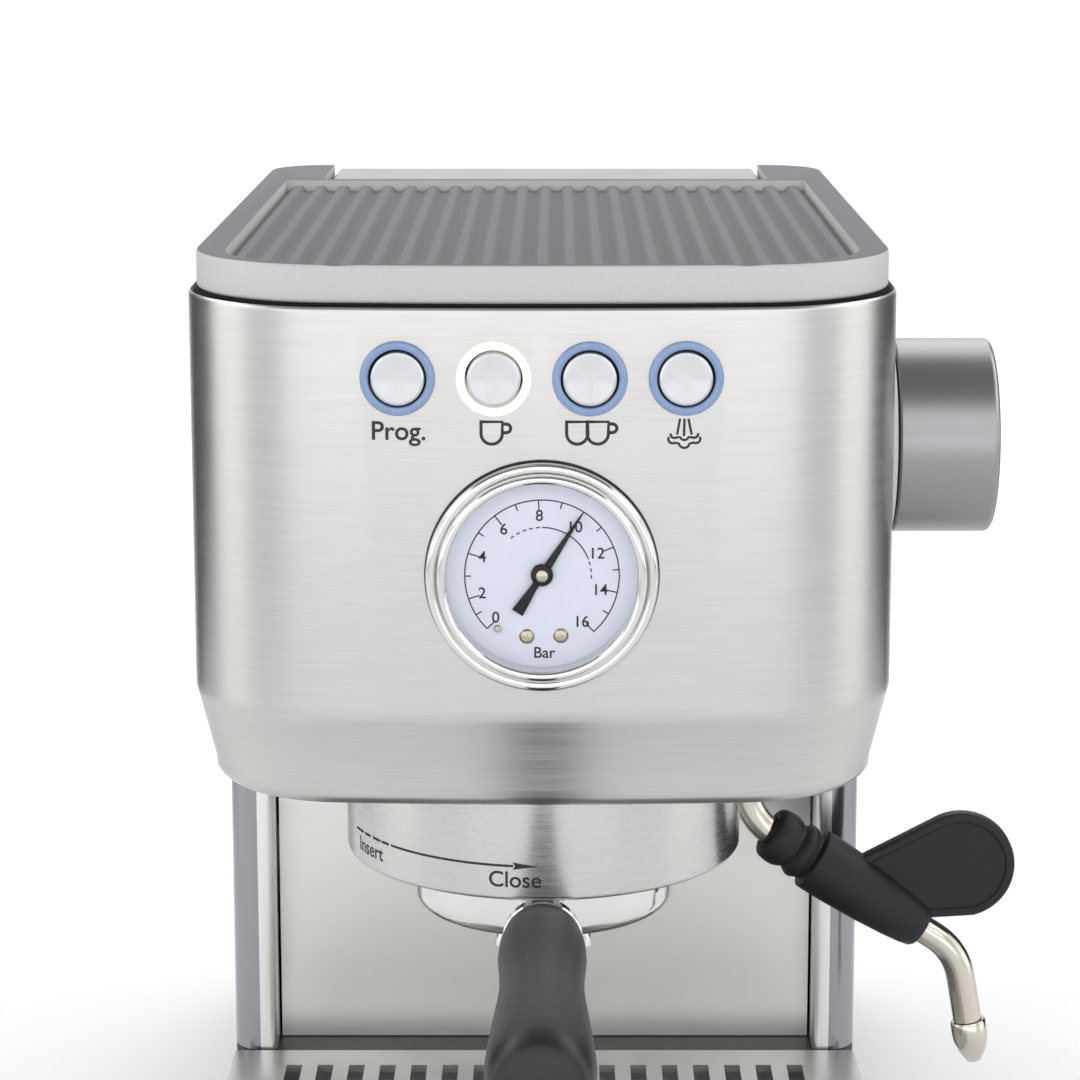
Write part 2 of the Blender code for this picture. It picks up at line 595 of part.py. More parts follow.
# ---------------------------------------------------------------- brew group
def group():
    """Collar under the head, and inside it the head that holds the portafilter, its seal and screen."""
    inner = COLLAR_R - COLLAR_WALL
    low = COLLAR_BOTTOM
    high = PLATE_LOW - GAP
    rim = [(COLLAR_R - 2 * MM + 2 * MM * math.cos(a), low + 2 * MM + 2 * MM * math.sin(a))
           for a in (0, -math.pi / 4, -math.pi / 2)]
    turned("group_collar", [(COLLAR_R, high)] + rim + [(inner, low), (inner, high)], STEEL,
           (0, GROUP_Y, 0), facets=FACETS + 10, closed=True)
    seat = RIM_Z + 6.5 * MM
    flange, flange_r = PLATE_TOP + GAP, GROUP_R + 2.4 * MM
    body = GROUP_R - 5.6 * MM
    profile = [(0, GROUP_TOP), (body, GROUP_TOP), (body, flange + 4 * MM), (flange_r, flange + 4 * MM),
               (flange_r, flange), (GROUP_R, flange), (GROUP_R, low + 2 * MM), (GROUP_LIP_R, low + 2 * MM),
               (GROUP_LIP_R, EAR_LOW - 1 * MM), (GROUP_GROOVE_R, EAR_LOW - 1 * MM),
               (GROUP_GROOVE_R, RIM_Z - GAP), (GROUP_LIP_R + 0.3 * MM, RIM_Z - GAP),
               (GROUP_LIP_R + 0.3 * MM, seat), (BASKET_R - 2 * MM, seat), (BASKET_R - 2 * MM, seat - 2 * MM),
               (SCREW_R + GAP, seat - 2 * MM), (SCREW_R + GAP, seat + 4 * MM), (0, seat + 4 * MM)]
    head = turned("group_head", profile, CAST, (0, GROUP_Y, 0))
    slot = cylinder("ear_slot", GROUP_GROOVE_R, low, EAR_LOW + 2 * MM, None, (0, GROUP_Y, 0), facets=FACETS)
    slot.rotation_euler = (0, 0, -math.radians(INSERT_TURN))
    half = EAR_WIDTH / 2 + 1.5 * MM
    keep = box("ear_slot_width", (-COLLAR_R, -half, 0), (COLLAR_R, half, HEAD_TOP), None,
               location=(0, GROUP_Y, 0), rotation=(0, 0, -math.radians(INSERT_TURN)))
    boolean(slot, keep, "INTERSECT")
    boolean(head, slot)
    turned("group_gasket", [(GROUP_LIP_R, seat - GAP), (GROUP_LIP_R, RIM_Z + 1.4 * MM),
                            (BASKET_R - 1.7 * MM, RIM_Z + 1.4 * MM), (BASKET_R - 1.7 * MM, seat - GAP)],
           RUBBER, (0, GROUP_Y, 0), facets=FACETS, closed=True)
    screen = seat - 2 * MM - GAP
    turned("shower_screen", [(BASKET_R - 2.3 * MM, screen), (BASKET_R - 2.3 * MM, screen - 1 * MM),
                             (SCREW_R + GAP, screen - 1 * MM), (SCREW_R + GAP, screen)],
           STEEL, (0, GROUP_Y, 0), closed=True)
    under = screen - 1 * MM - GAP
    turned("shower_screw", [(0, seat + 3 * MM), (SCREW_R, seat + 3 * MM), (SCREW_R, under), (4 * MM, under),
                            (4 * MM, under - 1.5 * MM), (0, under - 1.5 * MM)],
           STEEL, (0, GROUP_Y, 0), facets=SMALL_FACETS)


def portafilter():
    """Bowl with two locking ears and a neck, handle, basket and twin spout, all on the group's axis."""
    here = (0, GROUP_Y, 0)
    inner = BASKET_R + 0.5 * MM
    rim_r = GROUP_LIP_R - RIM_PLAY
    shoulder = COLLAR_BOTTOM - 0.6 * MM
    profile = [(rim_r, RIM_Z), (rim_r, shoulder), (BOWL_R - 1 * MM, shoulder), (BOWL_R, shoulder - 1 * MM),
               (BOWL_R, BOWL_BOTTOM + 4 * MM), (BOWL_R - 4 * MM, BOWL_BOTTOM), (4 * MM, BOWL_BOTTOM),
               (4 * MM, BOWL_BOTTOM + 3.5 * MM), (inner, BOWL_BOTTOM + 3.5 * MM), (inner, RIM_Z)]
    bowl = turned("portafilter_bowl", profile, CHROME, here, closed=True)
    ears = cylinder("ear_disc", GROUP_GROOVE_R - RIM_PLAY, EAR_LOW, EAR_LOW + EAR_THICK, None, here,
                    facets=FACETS)
    boolean(ears, box("ear_width", (-COLLAR_R, -EAR_WIDTH / 2, 0), (COLLAR_R, EAR_WIDTH / 2, HEAD_TOP), None,
                      location=here), "INTERSECT")
    boolean(ears, cylinder("ear_inside", rim_r - 1 * MM, 0, HEAD_TOP, None, here, facets=FACETS))
    boolean(bowl, ears, "UNION")
    reach = GROUP_Y - HANDLE_START
    rod = 5 * MM
    neck = turned("neck", [(0, reach + NECK_LENGTH), (rod, reach + NECK_LENGTH), (rod, reach - GAP),
                           (rod + 1.5 * MM, reach - GAP), (rod + 2.5 * MM, BOWL_R - 2 * MM),
                           (rod + 2.5 * MM, BOWL_R - 4 * MM), (0, BOWL_R - 4 * MM)],
                  None, (0, GROUP_Y, HANDLE_Z), (math.pi / 2, 0, 0), SMALL_FACETS)
    boolean(bowl, neck, "UNION")
    length, thick = HANDLE_LENGTH, HANDLE_R
    bore, socket = rod + GAP, NECK_LENGTH + 1 * MM
    grip = [(0, length), (thick - 5.5 * MM, length), (thick - 1.5 * MM, length - 3 * MM),
            (thick, length - 14 * MM), (thick - 1.5 * MM, length - 45 * MM), (thick - 3 * MM, 40 * MM),
            (thick - 2 * MM, 14 * MM), (thick - 3.5 * MM, 2 * MM), (thick - 5 * MM, 0), (bore, 0),
            (bore, socket), (0, socket)]
    turned("portafilter_handle", grip, BLACK, (0, HANDLE_START, HANDLE_Z), (math.pi / 2, 0, 0), SMALL_FACETS)
    top = RIM_Z + GAP
    wall = 0.8 * MM
    turned("filter_basket", [(rim_r - 0.4 * MM, top + wall), (rim_r - 0.4 * MM, top), (BASKET_R, top),
                             (BASKET_R, top - BASKET_DEPTH + 2 * MM), (BASKET_R - 2 * MM, top - BASKET_DEPTH),
                             (0, top - BASKET_DEPTH), (0, top - BASKET_DEPTH + wall),
                             (BASKET_R - 2 * MM - wall / 2, top - BASKET_DEPTH + wall),
                             (BASKET_R - wall, top - BASKET_DEPTH + 2.5 * MM), (BASKET_R - wall, top + wall)],
           STEEL, here, closed=True)
    spout()


def spout():
    """Twin spout: a boss under the bowl and an arched channel with two open tips."""
    top = BOWL_BOTTOM - GAP
    boss = turned("portafilter_spout", [(0, top), (8 * MM, top), (8 * MM, top - 5 * MM), (5 * MM, top - 9 * MM),
                                        (0, top - 9 * MM)],
                  CHROME, (0, GROUP_Y, 0), facets=SMALL_FACETS)
    middle = top - 6 * MM
    reach, rise = 11 * MM, middle - SPOUT_BOTTOM
    points = [(reach * x, GROUP_Y, SPOUT_BOTTOM + rise * z) for x, z in arc((0, 0), 1, 90, 0, 4)]
    points = [(-x, y, z) for x, y, z in reversed(points)] + points[1:]
    arch = as_mesh(tube("spout_arch", points, 4.2 * MM, None))
    boolean(boss, arch, "UNION")
    for sx in (-1, 1):
        boolean(boss, cylinder("spout_bore", 2.6 * MM, SPOUT_BOTTOM - 3 * MM, SPOUT_BOTTOM + 3.5 * MM, None,
                               (sx * reach, GROUP_Y, 0), facets=12))


# ---------------------------------------------------------------- front controls
def button_places():
    return [(i - 1.5) * BUTTON_PITCH for i in range(4)]


def buttons():
    """Ring lights with a sliding cap in each, square to the bowed face."""
    words = ("program", "one_cup", "two_cups", "steam")
    bore = BUTTON_CAP_R + BUTTON_PLAY
    neck = BUTTON_RING_R - 0.9 * MM
    for word, x in zip(words, button_places()):
        turn = math.asin(x / BOW_R)
        place = (x, face_y(x), BUTTON_Z)
        upright = (math.pi / 2, 0, turn)
        turned(f"ring_{word}",
               [(BUTTON_RING_R - 0.5 * MM, 1.4 * MM), (BUTTON_RING_R, 0.9 * MM), (BUTTON_RING_R, GAP),
                (neck, GAP), (neck, 1 * MM - BUTTON_DEPTH), (bore, 1 * MM - BUTTON_DEPTH), (bore, 1.4 * MM)],
               RING_BLUE, place, upright, 20, closed=True)
        turned(f"button_{word}",
               [(0, 1.9 * MM), (BUTTON_CAP_R - 0.7 * MM, 1.9 * MM), (BUTTON_CAP_R, 1.3 * MM),
                (BUTTON_CAP_R, -BUTTON_DEPTH), (0, -BUTTON_DEPTH)],
               ALUMINIUM, place, upright, 20)


def switch_board():
    """Board behind the buttons with a key switch for each."""
    half, front = 1.5 * BUTTON_PITCH + 12 * MM, 12 * MM
    board = box("switch_board", (-half, front, BUTTON_Z - 11 * MM),
                (half, front + BOARD_THICK, BUTTON_Z + 11 * MM), BOARD)
    for x in button_places():
        boolean(board, box("key_switch", (x - 3 * MM, front - 3.6 * MM, BUTTON_Z - 3 * MM),
                           (x + 3 * MM, front + BOARD_THICK / 2, BUTTON_Z + 3 * MM), None), "UNION")


def gauge():
    """Pressure gauge: case, movement, dial, pointer, lens and bezel, seen from the front."""
    here = (0, 0, GAUGE_Z)
    front = (math.pi / 2, 0, 0)
    wall = 1.2 * MM
    inner = GAUGE_CASE_R - wall
    back = -GAUGE_DEPTH
    turned("gauge_case", [(GAUGE_CASE_R, 0), (GAUGE_CASE_R, back), (6 * MM, back), (6 * MM, back - 6 * MM),
                          (0, back - 6 * MM), (0, back + wall), (inner, back + wall), (inner, 0)],
           BLACK, here, front, closed=True)
    opening = GAUGE_LENS_R + GAP
    turned("gauge_bezel", [(opening, 6.2 * MM), (GAUGE_BEZEL_R - 2.6 * MM, 6.6 * MM),
                           (GAUGE_BEZEL_R - 0.6 * MM, 5 * MM), (GAUGE_BEZEL_R, 3 * MM), (GAUGE_BEZEL_R, GAP),
                           (inner, GAP), (inner, 2 * MM), (opening, 2 * MM)],
           CHROME, here, front, FACETS + 6, closed=True)
    turned("gauge_lens", [(0, 3.6 * MM), (GAUGE_LENS_R, 3.6 * MM), (GAUGE_LENS_R, 2.4 * MM), (0, 2.4 * MM)],
           GLASS, here, front)
    dial_top = -1.4 * MM
    turned("gauge_dial", [(inner - GAP, dial_top), (inner - GAP, dial_top - 0.8 * MM),
                          (1.6 * MM, dial_top - 0.8 * MM), (1.6 * MM, dial_top)],
           DIAL_WHITE, here, front, closed=True)
    movement = -GAUGE_DEPTH + 3 * MM
    turned("gauge_movement", [(15 * MM, dial_top - 3 * MM), (15 * MM, movement), (0, movement),
                              (0, dial_top - 7 * MM), (6 * MM, dial_top - 7 * MM), (6 * MM, dial_top - 3 * MM)],
           CAST, here, front, SMALL_FACETS, closed=True)
    pointer(here, dial_top)


def pointer(here, dial_top):
    """Tapered needle with a broad tail, a hub and its spindle; local Y runs up the needle."""
    low, high = dial_top + 0.8 * MM, dial_top + 1.3 * MM
    outline = [(-0.25 * MM, POINTER_REACH), (-1.3 * MM, 0), (-1.0 * MM, -4 * MM), (-1.9 * MM, -POINTER_TAIL),
               (1.9 * MM, -POINTER_TAIL), (1.0 * MM, -4 * MM), (1.3 * MM, 0), (0.25 * MM, POINTER_REACH)]
    lean = Matrix.Rotation(-math.radians(POINTER_REST), 3, "Z")
    turned_outline = [tuple((lean @ Vector((x, y, 0)))[:2]) for x, y in outline]
    needle = prism("gauge_pointer", turned_outline, low, high, BLACK, here, (math.pi / 2, 0, 0))
    hub = turned("pointer_hub", [(0, high + 0.9 * MM), (2.4 * MM, high + 0.9 * MM), (3.1 * MM, high + 0.4 * MM),
                                 (3.1 * MM, low - 0.2 * MM), (0.9 * MM, low - 0.2 * MM),
                                 (0.9 * MM, dial_top - 6 * MM), (0, dial_top - 6 * MM)],
                 None, here, (math.pi / 2, 0, 0), SMALL_FACETS)
    boolean(needle, hub, "UNION")


# ---------------------------------------------------------------- steam side
def knob():
    """Valve inside, spindle through the housing's side, base ring and knob outside."""
    here = (0, KNOB_Y, KNOB_Z)
    across = (0, math.pi / 2, 0)
    ring_in = BODY_HALF + GAP
    ring_out = ring_in + KNOB_RING
    start = ring_out + 0.8 * MM
    end = start + KNOB_LENGTH
    valve_end = BODY_HALF - VALVE_SET
    step = valve_end - 8 * MM
    turned("steam_valve", [(0, valve_end), (VALVE_R - 4.5 * MM, valve_end), (VALVE_R - 4.5 * MM, step),
                           (VALVE_R, step), (VALVE_R, valve_end - VALVE_LENGTH), (0, valve_end - VALVE_LENGTH)],
           CAST, here, across, SMALL_FACETS)
    tip, root = end - 6 * MM, valve_end + GAP
    turned("knob_shaft", [(0, tip), (SHAFT_R, tip), (SHAFT_R, root), (0, root)], STEEL, here, across, SMALL_FACETS)
    turned("knob_base_ring", [(KNOB_RING_R - 1 * MM, ring_out), (KNOB_RING_R, ring_out - 1 * MM),
                              (KNOB_RING_R, ring_in), (SHAFT_R + 1.2 * MM, ring_in),
                              (SHAFT_R + 1.2 * MM, ring_out)],
           FRAME_GREY, here, across, FACETS, closed=True)
    bore = SHAFT_R + GAP
    turned("steam_knob", [(0, end), (KNOB_R - 2 * MM, end), (KNOB_R - 0.6 * MM, end - 0.6 * MM),
                          (KNOB_R, end - 2 * MM), (KNOB_R, start), (bore, start), (bore, end - 5.7 * MM),
                          (0, end - 5.7 * MM)],
           ALUMINIUM, here, across, FACETS)


def wand_path():
    """The tube's centre line: straight down, an arm outwards, then down to the nozzle."""
    lean = 90 - WAND_SLOPE
    start_z = WAND_ARM_START + WAND_BEND * math.sin(math.radians(lean))
    points = [(WAND_X, BALL_Z), (WAND_X, start_z + 8 * MM)]
    points += arc((WAND_X + WAND_BEND, start_z), WAND_BEND, 180, 180 + lean, ARM_POINT - 2)
    x, z = points[-1]
    arm = GRIP_LENGTH + 3 * MM
    slope = math.radians(WAND_SLOPE)
    x, z = x + arm * math.cos(slope), z - arm * math.sin(slope)
    turn = 80 - WAND_SLOPE
    centre = (x - WAND_BEND * math.sin(slope), z - WAND_BEND * math.cos(slope))
    points += arc(centre, WAND_BEND, 90 - WAND_SLOPE, 90 - WAND_SLOPE - turn, 5)
    x, z = points[-1]
    down = math.radians(80)
    drop = (z - NOZZLE_BOTTOM - NOZZLE_LENGTH) / math.sin(down)
    points.append((x + drop * math.cos(down), z - drop * math.sin(down)))
    return points


def wand():
    """Ball joint, bent tube, insulating grip with its thumb paddle, and the nozzle."""
    low, high = PLATE_TOP + GAP, BALL_Z + BALL_R + SOCKET_ROOF
    room = BALL_R + 0.4 * MM
    outer = BALL_R + 4.5 * MM
    lip = TUBE_R + 1.7 * MM
    turned("wand_socket", [(outer, high), (outer, low), (lip, low), (lip, low + 2.2 * MM),
                           (room, low + 4.5 * MM), (room, high - 3 * MM), (2 * MM, high - 3 * MM), (2 * MM, high)],
           CAST, (WAND_X, WAND_Y, 0), facets=SMALL_FACETS, closed=True)
    path = [(x, WAND_Y, z) for x, z in wand_path()]
    stem = as_mesh(tube("steam_tube_stem", path, TUBE_R, None))
    bm = bmesh.new()
    bmesh.ops.create_uvsphere(bm, u_segments=14, v_segments=8, radius=BALL_R)
    ball = add("steam_tube", mesh_from("steam_tube", bm), CHROME, (WAND_X, WAND_Y, BALL_Z))
    smooth(ball)
    boolean(ball, stem, "UNION")
    wand_grip(path)
    wand_nozzle(path)


def wand_grip(path):
    """Sleeve along the arm, two grooves at its start, and a flat paddle with a round end."""
    slope = math.radians(WAND_SLOPE)
    along = Vector((math.cos(slope), 0, -math.sin(slope)))
    start = Vector(path[ARM_POINT]) - along * GRIP_LEAD
    ring, groove = GRIP_R, GRIP_R - 1.6 * MM
    profile = [(0, GRIP_LENGTH), (6.5 * MM, GRIP_LENGTH), (7.5 * MM, GRIP_LENGTH - 2 * MM),
               (ring, GRIP_LENGTH - 24 * MM), (ring + 0.5 * MM, 19 * MM),
               (ring, 18 * MM), (groove, 17 * MM), (ring - 0.5 * MM, 15.5 * MM), (ring - 0.4 * MM, 12 * MM),
               (groove, 10.5 * MM), (ring - 0.4 * MM, 9 * MM), (ring - 0.4 * MM, 3 * MM), (ring - 3 * MM, 0),
               (0, 0)]
    grip = turned("wand_grip", profile, RUBBER, start, (0, math.pi / 2 + slope, 0), 18)
    middle = (start.x + PADDLE_REACH, start.z - PADDLE_DROP)
    root, end = start + along * 24 * MM, start + along * (GRIP_LENGTH - 6 * MM)
    outline = [(root.x, root.z), (end.x, end.z)] + arc(middle, PADDLE_R, -75, 122, 12)
    paddle = prism("paddle", outline, -PADDLE_THICK / 2, PADDLE_THICK / 2, None, (0, WAND_Y, 0),
                   (math.pi / 2, 0, 0))
    boolean(grip, paddle, "UNION")
    boolean(grip, as_mesh(tube("grip_bore", path, TUBE_R + GAP, None)))


def wand_nozzle(path):
    """Tip screwed on the tube's end, with its steam hole."""
    a, b = Vector(path[-2]), Vector(path[-1])
    down = (b - a).normalized()
    rotation = down.to_track_quat("Z", "Y").to_euler()
    thick = TUBE_R + 1.1 * MM
    turned("wand_nozzle", [(0, NOZZLE_LENGTH), (2 * MM, NOZZLE_LENGTH), (TUBE_R, NOZZLE_LENGTH - 4 * MM),
                           (thick, NOZZLE_LENGTH - 9 * MM), (thick, GAP), (0, GAP)],
           STEEL, tuple(b), rotation, SMALL_FACETS)


# ---------------------------------------------------------------- machinery
def machinery():
    """Heater over the group with the solenoid valve beside it, and the control board behind."""
    box("thermoblock", (-BLOCK_HALF, GROUP_Y - 34 * MM, BLOCK_LOW),
        (BLOCK_HALF, BLOCK_BACK, BLOCK_LOW + BLOCK_HEIGHT), CAST, 2 * MM)
    box("solenoid_valve", (-BLOCK_HALF - 36 * MM, GROUP_Y - 18 * MM, BLOCK_LOW + 2 * MM),
        (-BLOCK_HALF - 8 * MM, GROUP_Y + 10 * MM, BLOCK_LOW + 36 * MM), BLACK, 1 * MM)
    y, low = TANK_FRONT - 14 * MM, BLOCK_LOW + 10 * MM
    board = box("control_board", (-BOARD_HALF, y, low), (BOARD_HALF, y + BOARD_THICK, low + 75 * MM), BOARD)
    for x, z, wide, high, deep in BOARD_PARTS:
        boolean(board, box("component", (x - wide / 2, y - deep, low + z - high / 2),
                           (x + wide / 2, y + BOARD_THICK / 2, low + z + high / 2), None), "UNION")


def pump():
    """Pump lying across the base in its saddle."""
    across = (0, math.pi / 2, 0)
    neck, step = PUMP_R - 9 * MM, PUMP_R - 14 * MM
    face, tail = PUMP_FRONT - 20 * MM, PUMP_REAR + 25 * MM
    turned("pump", [(0, PUMP_FRONT), (step, PUMP_FRONT), (step, face), (PUMP_R, face), (PUMP_R, tail),
                    (neck, tail), (neck, PUMP_REAR), (0, PUMP_REAR)],
           BLACK, (0, PUMP_Y, PUMP_Z), across, SMALL_FACETS)
    half = PUMP_R + 5 * MM
    bracket = box("pump_bracket", (tail + 5 * MM, PUMP_Y - half, PAN_TOP + GAP),
                  (face - 5 * MM, PUMP_Y + half, PUMP_Z - 8 * MM), PANEL_GREY)
    boolean(bracket, cylinder("pump_saddle", PUMP_R + 1 * MM, PUMP_REAR, PUMP_FRONT, None, (0, PUMP_Y, PUMP_Z),
                              across, 16))


def pipes():
    """Hose from the tank to the pump, pipe on to the heater, pipe from the steam valve to the wand."""
    hose = [(HOSE_X, HOSE_Y, BASE_TOP - PAN_WALL), (HOSE_X, HOSE_Y, HOSE_Z), (HOSE_X, PUMP_Y, HOSE_Z),
            (HOSE_X, PUMP_Y, PUMP_Z), (PUMP_FRONT + GAP, PUMP_Y, PUMP_Z)]
    tube("water_hose", bent(hose), HOSE_R, SILICONE)
    level = BLOCK_LOW + BLOCK_HEIGHT / 2
    rise = PUMP_REAR - 20 * MM
    riser = [(PUMP_REAR - GAP, PUMP_Y, PUMP_Z), (rise, PUMP_Y, PUMP_Z), (rise, PUMP_Y, level),
             (-BLOCK_HALF / 2, PUMP_Y, level), (-BLOCK_HALF / 2, BLOCK_BACK + GAP, level)]
    tube("pressure_pipe", bent(riser), PIPE_R, SILICONE)
    beside = WAND_X + 4 * MM
    drop = [(beside, KNOB_Y, KNOB_Z - VALVE_R - GAP), (beside, KNOB_Y, level),
            (WAND_X, WAND_Y, level - 8 * MM), (WAND_X, WAND_Y, BALL_Z + BALL_R + SOCKET_ROOF + GAP)]
    tube("steam_pipe", bent(drop), PIPE_R, STEEL)


def power_inlet():
    """Gland for the power cord in the base's rear wall."""
    collar = GLAND_R + 3 * MM
    turned("power_inlet", [(0, 14 * MM), (GLAND_R - 1 * MM, 14 * MM), (GLAND_R, 12 * MM),
                           (collar, 4 * MM + GAP), (collar, 2 * GAP), (GLAND_R, 2 * GAP),
                           (GLAND_R, -2 * PAN_WALL), (0, -2 * PAN_WALL)],
           BLACK, (GLAND_X, BODY_BACK, GLAND_Z), (-math.pi / 2, 0, 0), SMALL_FACETS)


def bent(corners, radius=7 * MM):
    """The corners' path with each inner corner turned into a short arc."""
    points = [Vector(corners[0])]
    for before, corner, after in zip(corners, corners[1:], corners[2:]):
        before, corner, after = Vector(before), Vector(corner), Vector(after)
        reach = min(radius, (before - corner).length / 2.2, (after - corner).length / 2.2)
        a = corner + (before - corner).normalized() * reach
        b = corner + (after - corner).normalized() * reach
        for i in range(4):
            t = i / 3
            points.append(a * (1 - t) ** 2 + corner * 2 * t * (1 - t) + b * t ** 2)
    points.append(Vector(corners[-1]))
    return [tuple(p) for p in points]


def power_switch():
    """Rocker in the left side, resting on its off end."""
    lean = math.radians(SWITCH_TILT)
    box("power_switch", (-1.6 * MM, -SWITCH_W / 2, -SWITCH_H / 2), (6 * MM, SWITCH_W / 2, SWITCH_H / 2),
        BLACK, 0.8 * MM, location=(-BODY_HALF, SWITCH_Y, SWITCH_Z), rotation=(0, lean, 0))


# ---------------------------------------------------------------- tray and tank
def tray_outline(inset):
    return body_outline(inset, TRAY_FRONT, COLUMN_FRONT - 2 * GAP, TRAY_CORNER, 0)


def drip_tray():
    """Sliding tray with its slotted grid."""
    floor, rim = PAN_TOP + GAP, BASE_TOP - TRAY_SINK
    tray = prism("drip_tray", tray_outline(0), floor, rim, FRAME_GREY)
    boolean(tray, prism("tray_inside", tray_outline(WALL), floor + WALL, rim + 5 * MM, None))
    low = rim + GAP
    grid = prism("drip_grid", tray_outline(0.8 * MM), low, low + GRID_THICK, STEEL)
    middle = (GRID_SLOTS - 1) // 2
    below, above = low - GRID_THICK, low + 2 * GRID_THICK
    for i in range(GRID_SLOTS):
        x = (i - middle) * SLOT_PITCH
        front = TRAY_FRONT + 14 * MM + max(0.0, abs(x) - BODY_HALF / 2) * 0.9
        if i == middle:
            front += FLOAT_SET + 8 * MM
        boolean(grid, box(f"grid_slot_{i}", (x - SLOT_WIDTH / 2, front, below),
                          (x + SLOT_WIDTH / 2, COLUMN_FRONT - 14 * MM, above), None))
    boolean(grid, cylinder("float_hole", FLOAT_R + 2 * MM, below, above, None, (0, TRAY_FRONT + FLOAT_SET, 0)))


def tray_float():
    """Float that rises through the grid when the tray is full."""
    low = PAN_TOP + WALL + 2 * GAP
    tip = BASE_TOP - 1 * MM - low
    disc = FLOAT_R + 4 * MM
    turned("tray_float", [(0, tip), (FLOAT_R - 0.5 * MM, tip), (FLOAT_R, tip - 1 * MM), (FLOAT_R, 3 * MM),
                          (disc, 3 * MM), (disc, 0), (0, 0)],
           RED, (0, TRAY_FRONT + FLOAT_SET, low), facets=16)


def tank_outline(inset):
    """The tank's plan: large front corners, small rear ones."""
    back = TANK_BACK - TANK_BACK_RADIUS
    half = [(0, TANK_FRONT + inset)]
    half += arc((TANK_HALF - TANK_CORNER, TANK_FRONT + TANK_CORNER), TANK_CORNER - inset, -90, 0, 4)
    half += arc((TANK_HALF - TANK_BACK_RADIUS, back), TANK_BACK_RADIUS - inset, 0, 90, 3)
    half.append((0, TANK_BACK - inset))
    return mirrored(half)


def tank():
    """Lift-out tank and its hinged lid."""
    low, rim = BASE_TOP + GAP, LID_TOP - TANK_SINK
    body = prism("water_tank", tank_outline(0), low, rim, SMOKE)
    boolean(body, prism("tank_inside", tank_outline(WALL), low + WALL, rim + 5 * MM, None))
    boolean(body, cylinder("tank_outlet", HOSE_R - 1 * MM, 0, low + 2 * WALL, None, (HOSE_X, HOSE_Y, 0)))
    top = LID_TOP - 1.5 * MM
    height, depth = top - rim - GAP, TANK_BACK - TANK_FRONT
    half, edge = TANK_HALF - 0.5 * MM, 4 * MM
    hinge = (0, TANK_FRONT, top)
    lid = box("tank_lid", (-half, 0, -height), (half, depth, 0), SMOKE, 1.2 * MM, location=hinge)
    boolean(lid, box("lid_hollow", (edge - half, edge, -2 * height), (half - edge, depth - edge, -WALL), None,
                     location=hinge))


def centre_on_origin():
    """Moves the root so that the whole machine's box is centred over the origin."""
    bpy.context.view_layer.update()
    depsgraph = bpy.context.evaluated_depsgraph_get()
    low, high = Vector((1, 1, 1)), Vector((-1, -1, -1))
    for obj in PARTS.objects:
        if obj.type == "EMPTY":
            continue
        shape = obj.evaluated_get(depsgraph)
        mesh = shape.to_mesh()
        for vert in mesh.vertices:
            place = shape.matrix_world @ vert.co
            low = Vector(map(min, low, place))
            high = Vector(map(max, high, place))
        shape.to_mesh_clear()
    ROOT.location = (-(low.x + high.x) / 2, -(low.y + high.y) / 2, 0)
    bpy.context.view_layer.update()


base_pan()
feet()
column_sides()
column_panel()
rear_chassis()
head_shell()
head_bottom_plate()
top_frame()
cup_warmer_plate()
group()
portafilter()
buttons()
switch_board()
gauge()
knob()
wand()
machinery()
pump()
pipes()
power_inlet()
power_switch()
drip_tray()
tray_float()
tank()
centre_on_origin()
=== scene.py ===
import json
import math

import bpy
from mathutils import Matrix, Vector


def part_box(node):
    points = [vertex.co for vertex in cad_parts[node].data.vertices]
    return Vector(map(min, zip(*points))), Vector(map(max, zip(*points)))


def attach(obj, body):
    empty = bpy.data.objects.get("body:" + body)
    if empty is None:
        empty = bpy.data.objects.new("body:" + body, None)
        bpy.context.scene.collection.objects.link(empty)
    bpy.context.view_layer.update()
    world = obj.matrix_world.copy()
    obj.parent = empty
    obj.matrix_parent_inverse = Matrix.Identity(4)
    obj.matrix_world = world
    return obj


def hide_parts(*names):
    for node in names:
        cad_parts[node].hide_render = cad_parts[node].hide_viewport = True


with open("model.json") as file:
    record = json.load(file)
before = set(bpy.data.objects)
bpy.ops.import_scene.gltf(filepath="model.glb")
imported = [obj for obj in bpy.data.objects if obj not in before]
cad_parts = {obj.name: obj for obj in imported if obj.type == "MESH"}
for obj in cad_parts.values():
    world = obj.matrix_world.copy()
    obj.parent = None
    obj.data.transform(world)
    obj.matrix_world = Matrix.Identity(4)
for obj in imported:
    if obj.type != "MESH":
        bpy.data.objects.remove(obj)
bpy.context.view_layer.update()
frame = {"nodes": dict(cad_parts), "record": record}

# Camera: in front of the head and above the lid, tilted down by ten degrees, with a long lens whose frame
# is shifted down. Places are in mm from the centre plane, the head's foremost line and the counter.
MM = 0.001
CAMERA_PLACE = (4.6, -830.3, 413.8)
CAMERA_TILT = 10.2
CAMERA_LENS = 103.1
CAMERA_SHIFT = (-0.0173, -0.1)
head_low, head_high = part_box("head_shell")
MIDDLE = (head_low.x + head_high.x) / 2
FRONT = head_low.y


def at(x, y, z):
    """The place x right of the centre plane, y behind the head's front and z above the counter."""
    return Vector((MIDDLE + x * MM, FRONT + y * MM, z * MM))


def spot(node):
    """The middle of a CAD node, in the same terms."""
    low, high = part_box(node)
    middle = (low + high) / 2
    return Vector(((middle.x - MIDDLE) / MM, (middle.y - FRONT) / MM, middle.z / MM))


bpy.ops.object.camera_add(location=at(*CAMERA_PLACE), rotation=(math.radians(90 - CAMERA_TILT), 0, 0))
camera = bpy.context.object
camera.data.lens = CAMERA_LENS
camera.data.sensor_width = 36
camera.data.shift_x, camera.data.shift_y = CAMERA_SHIFT
bpy.context.scene.camera = camera

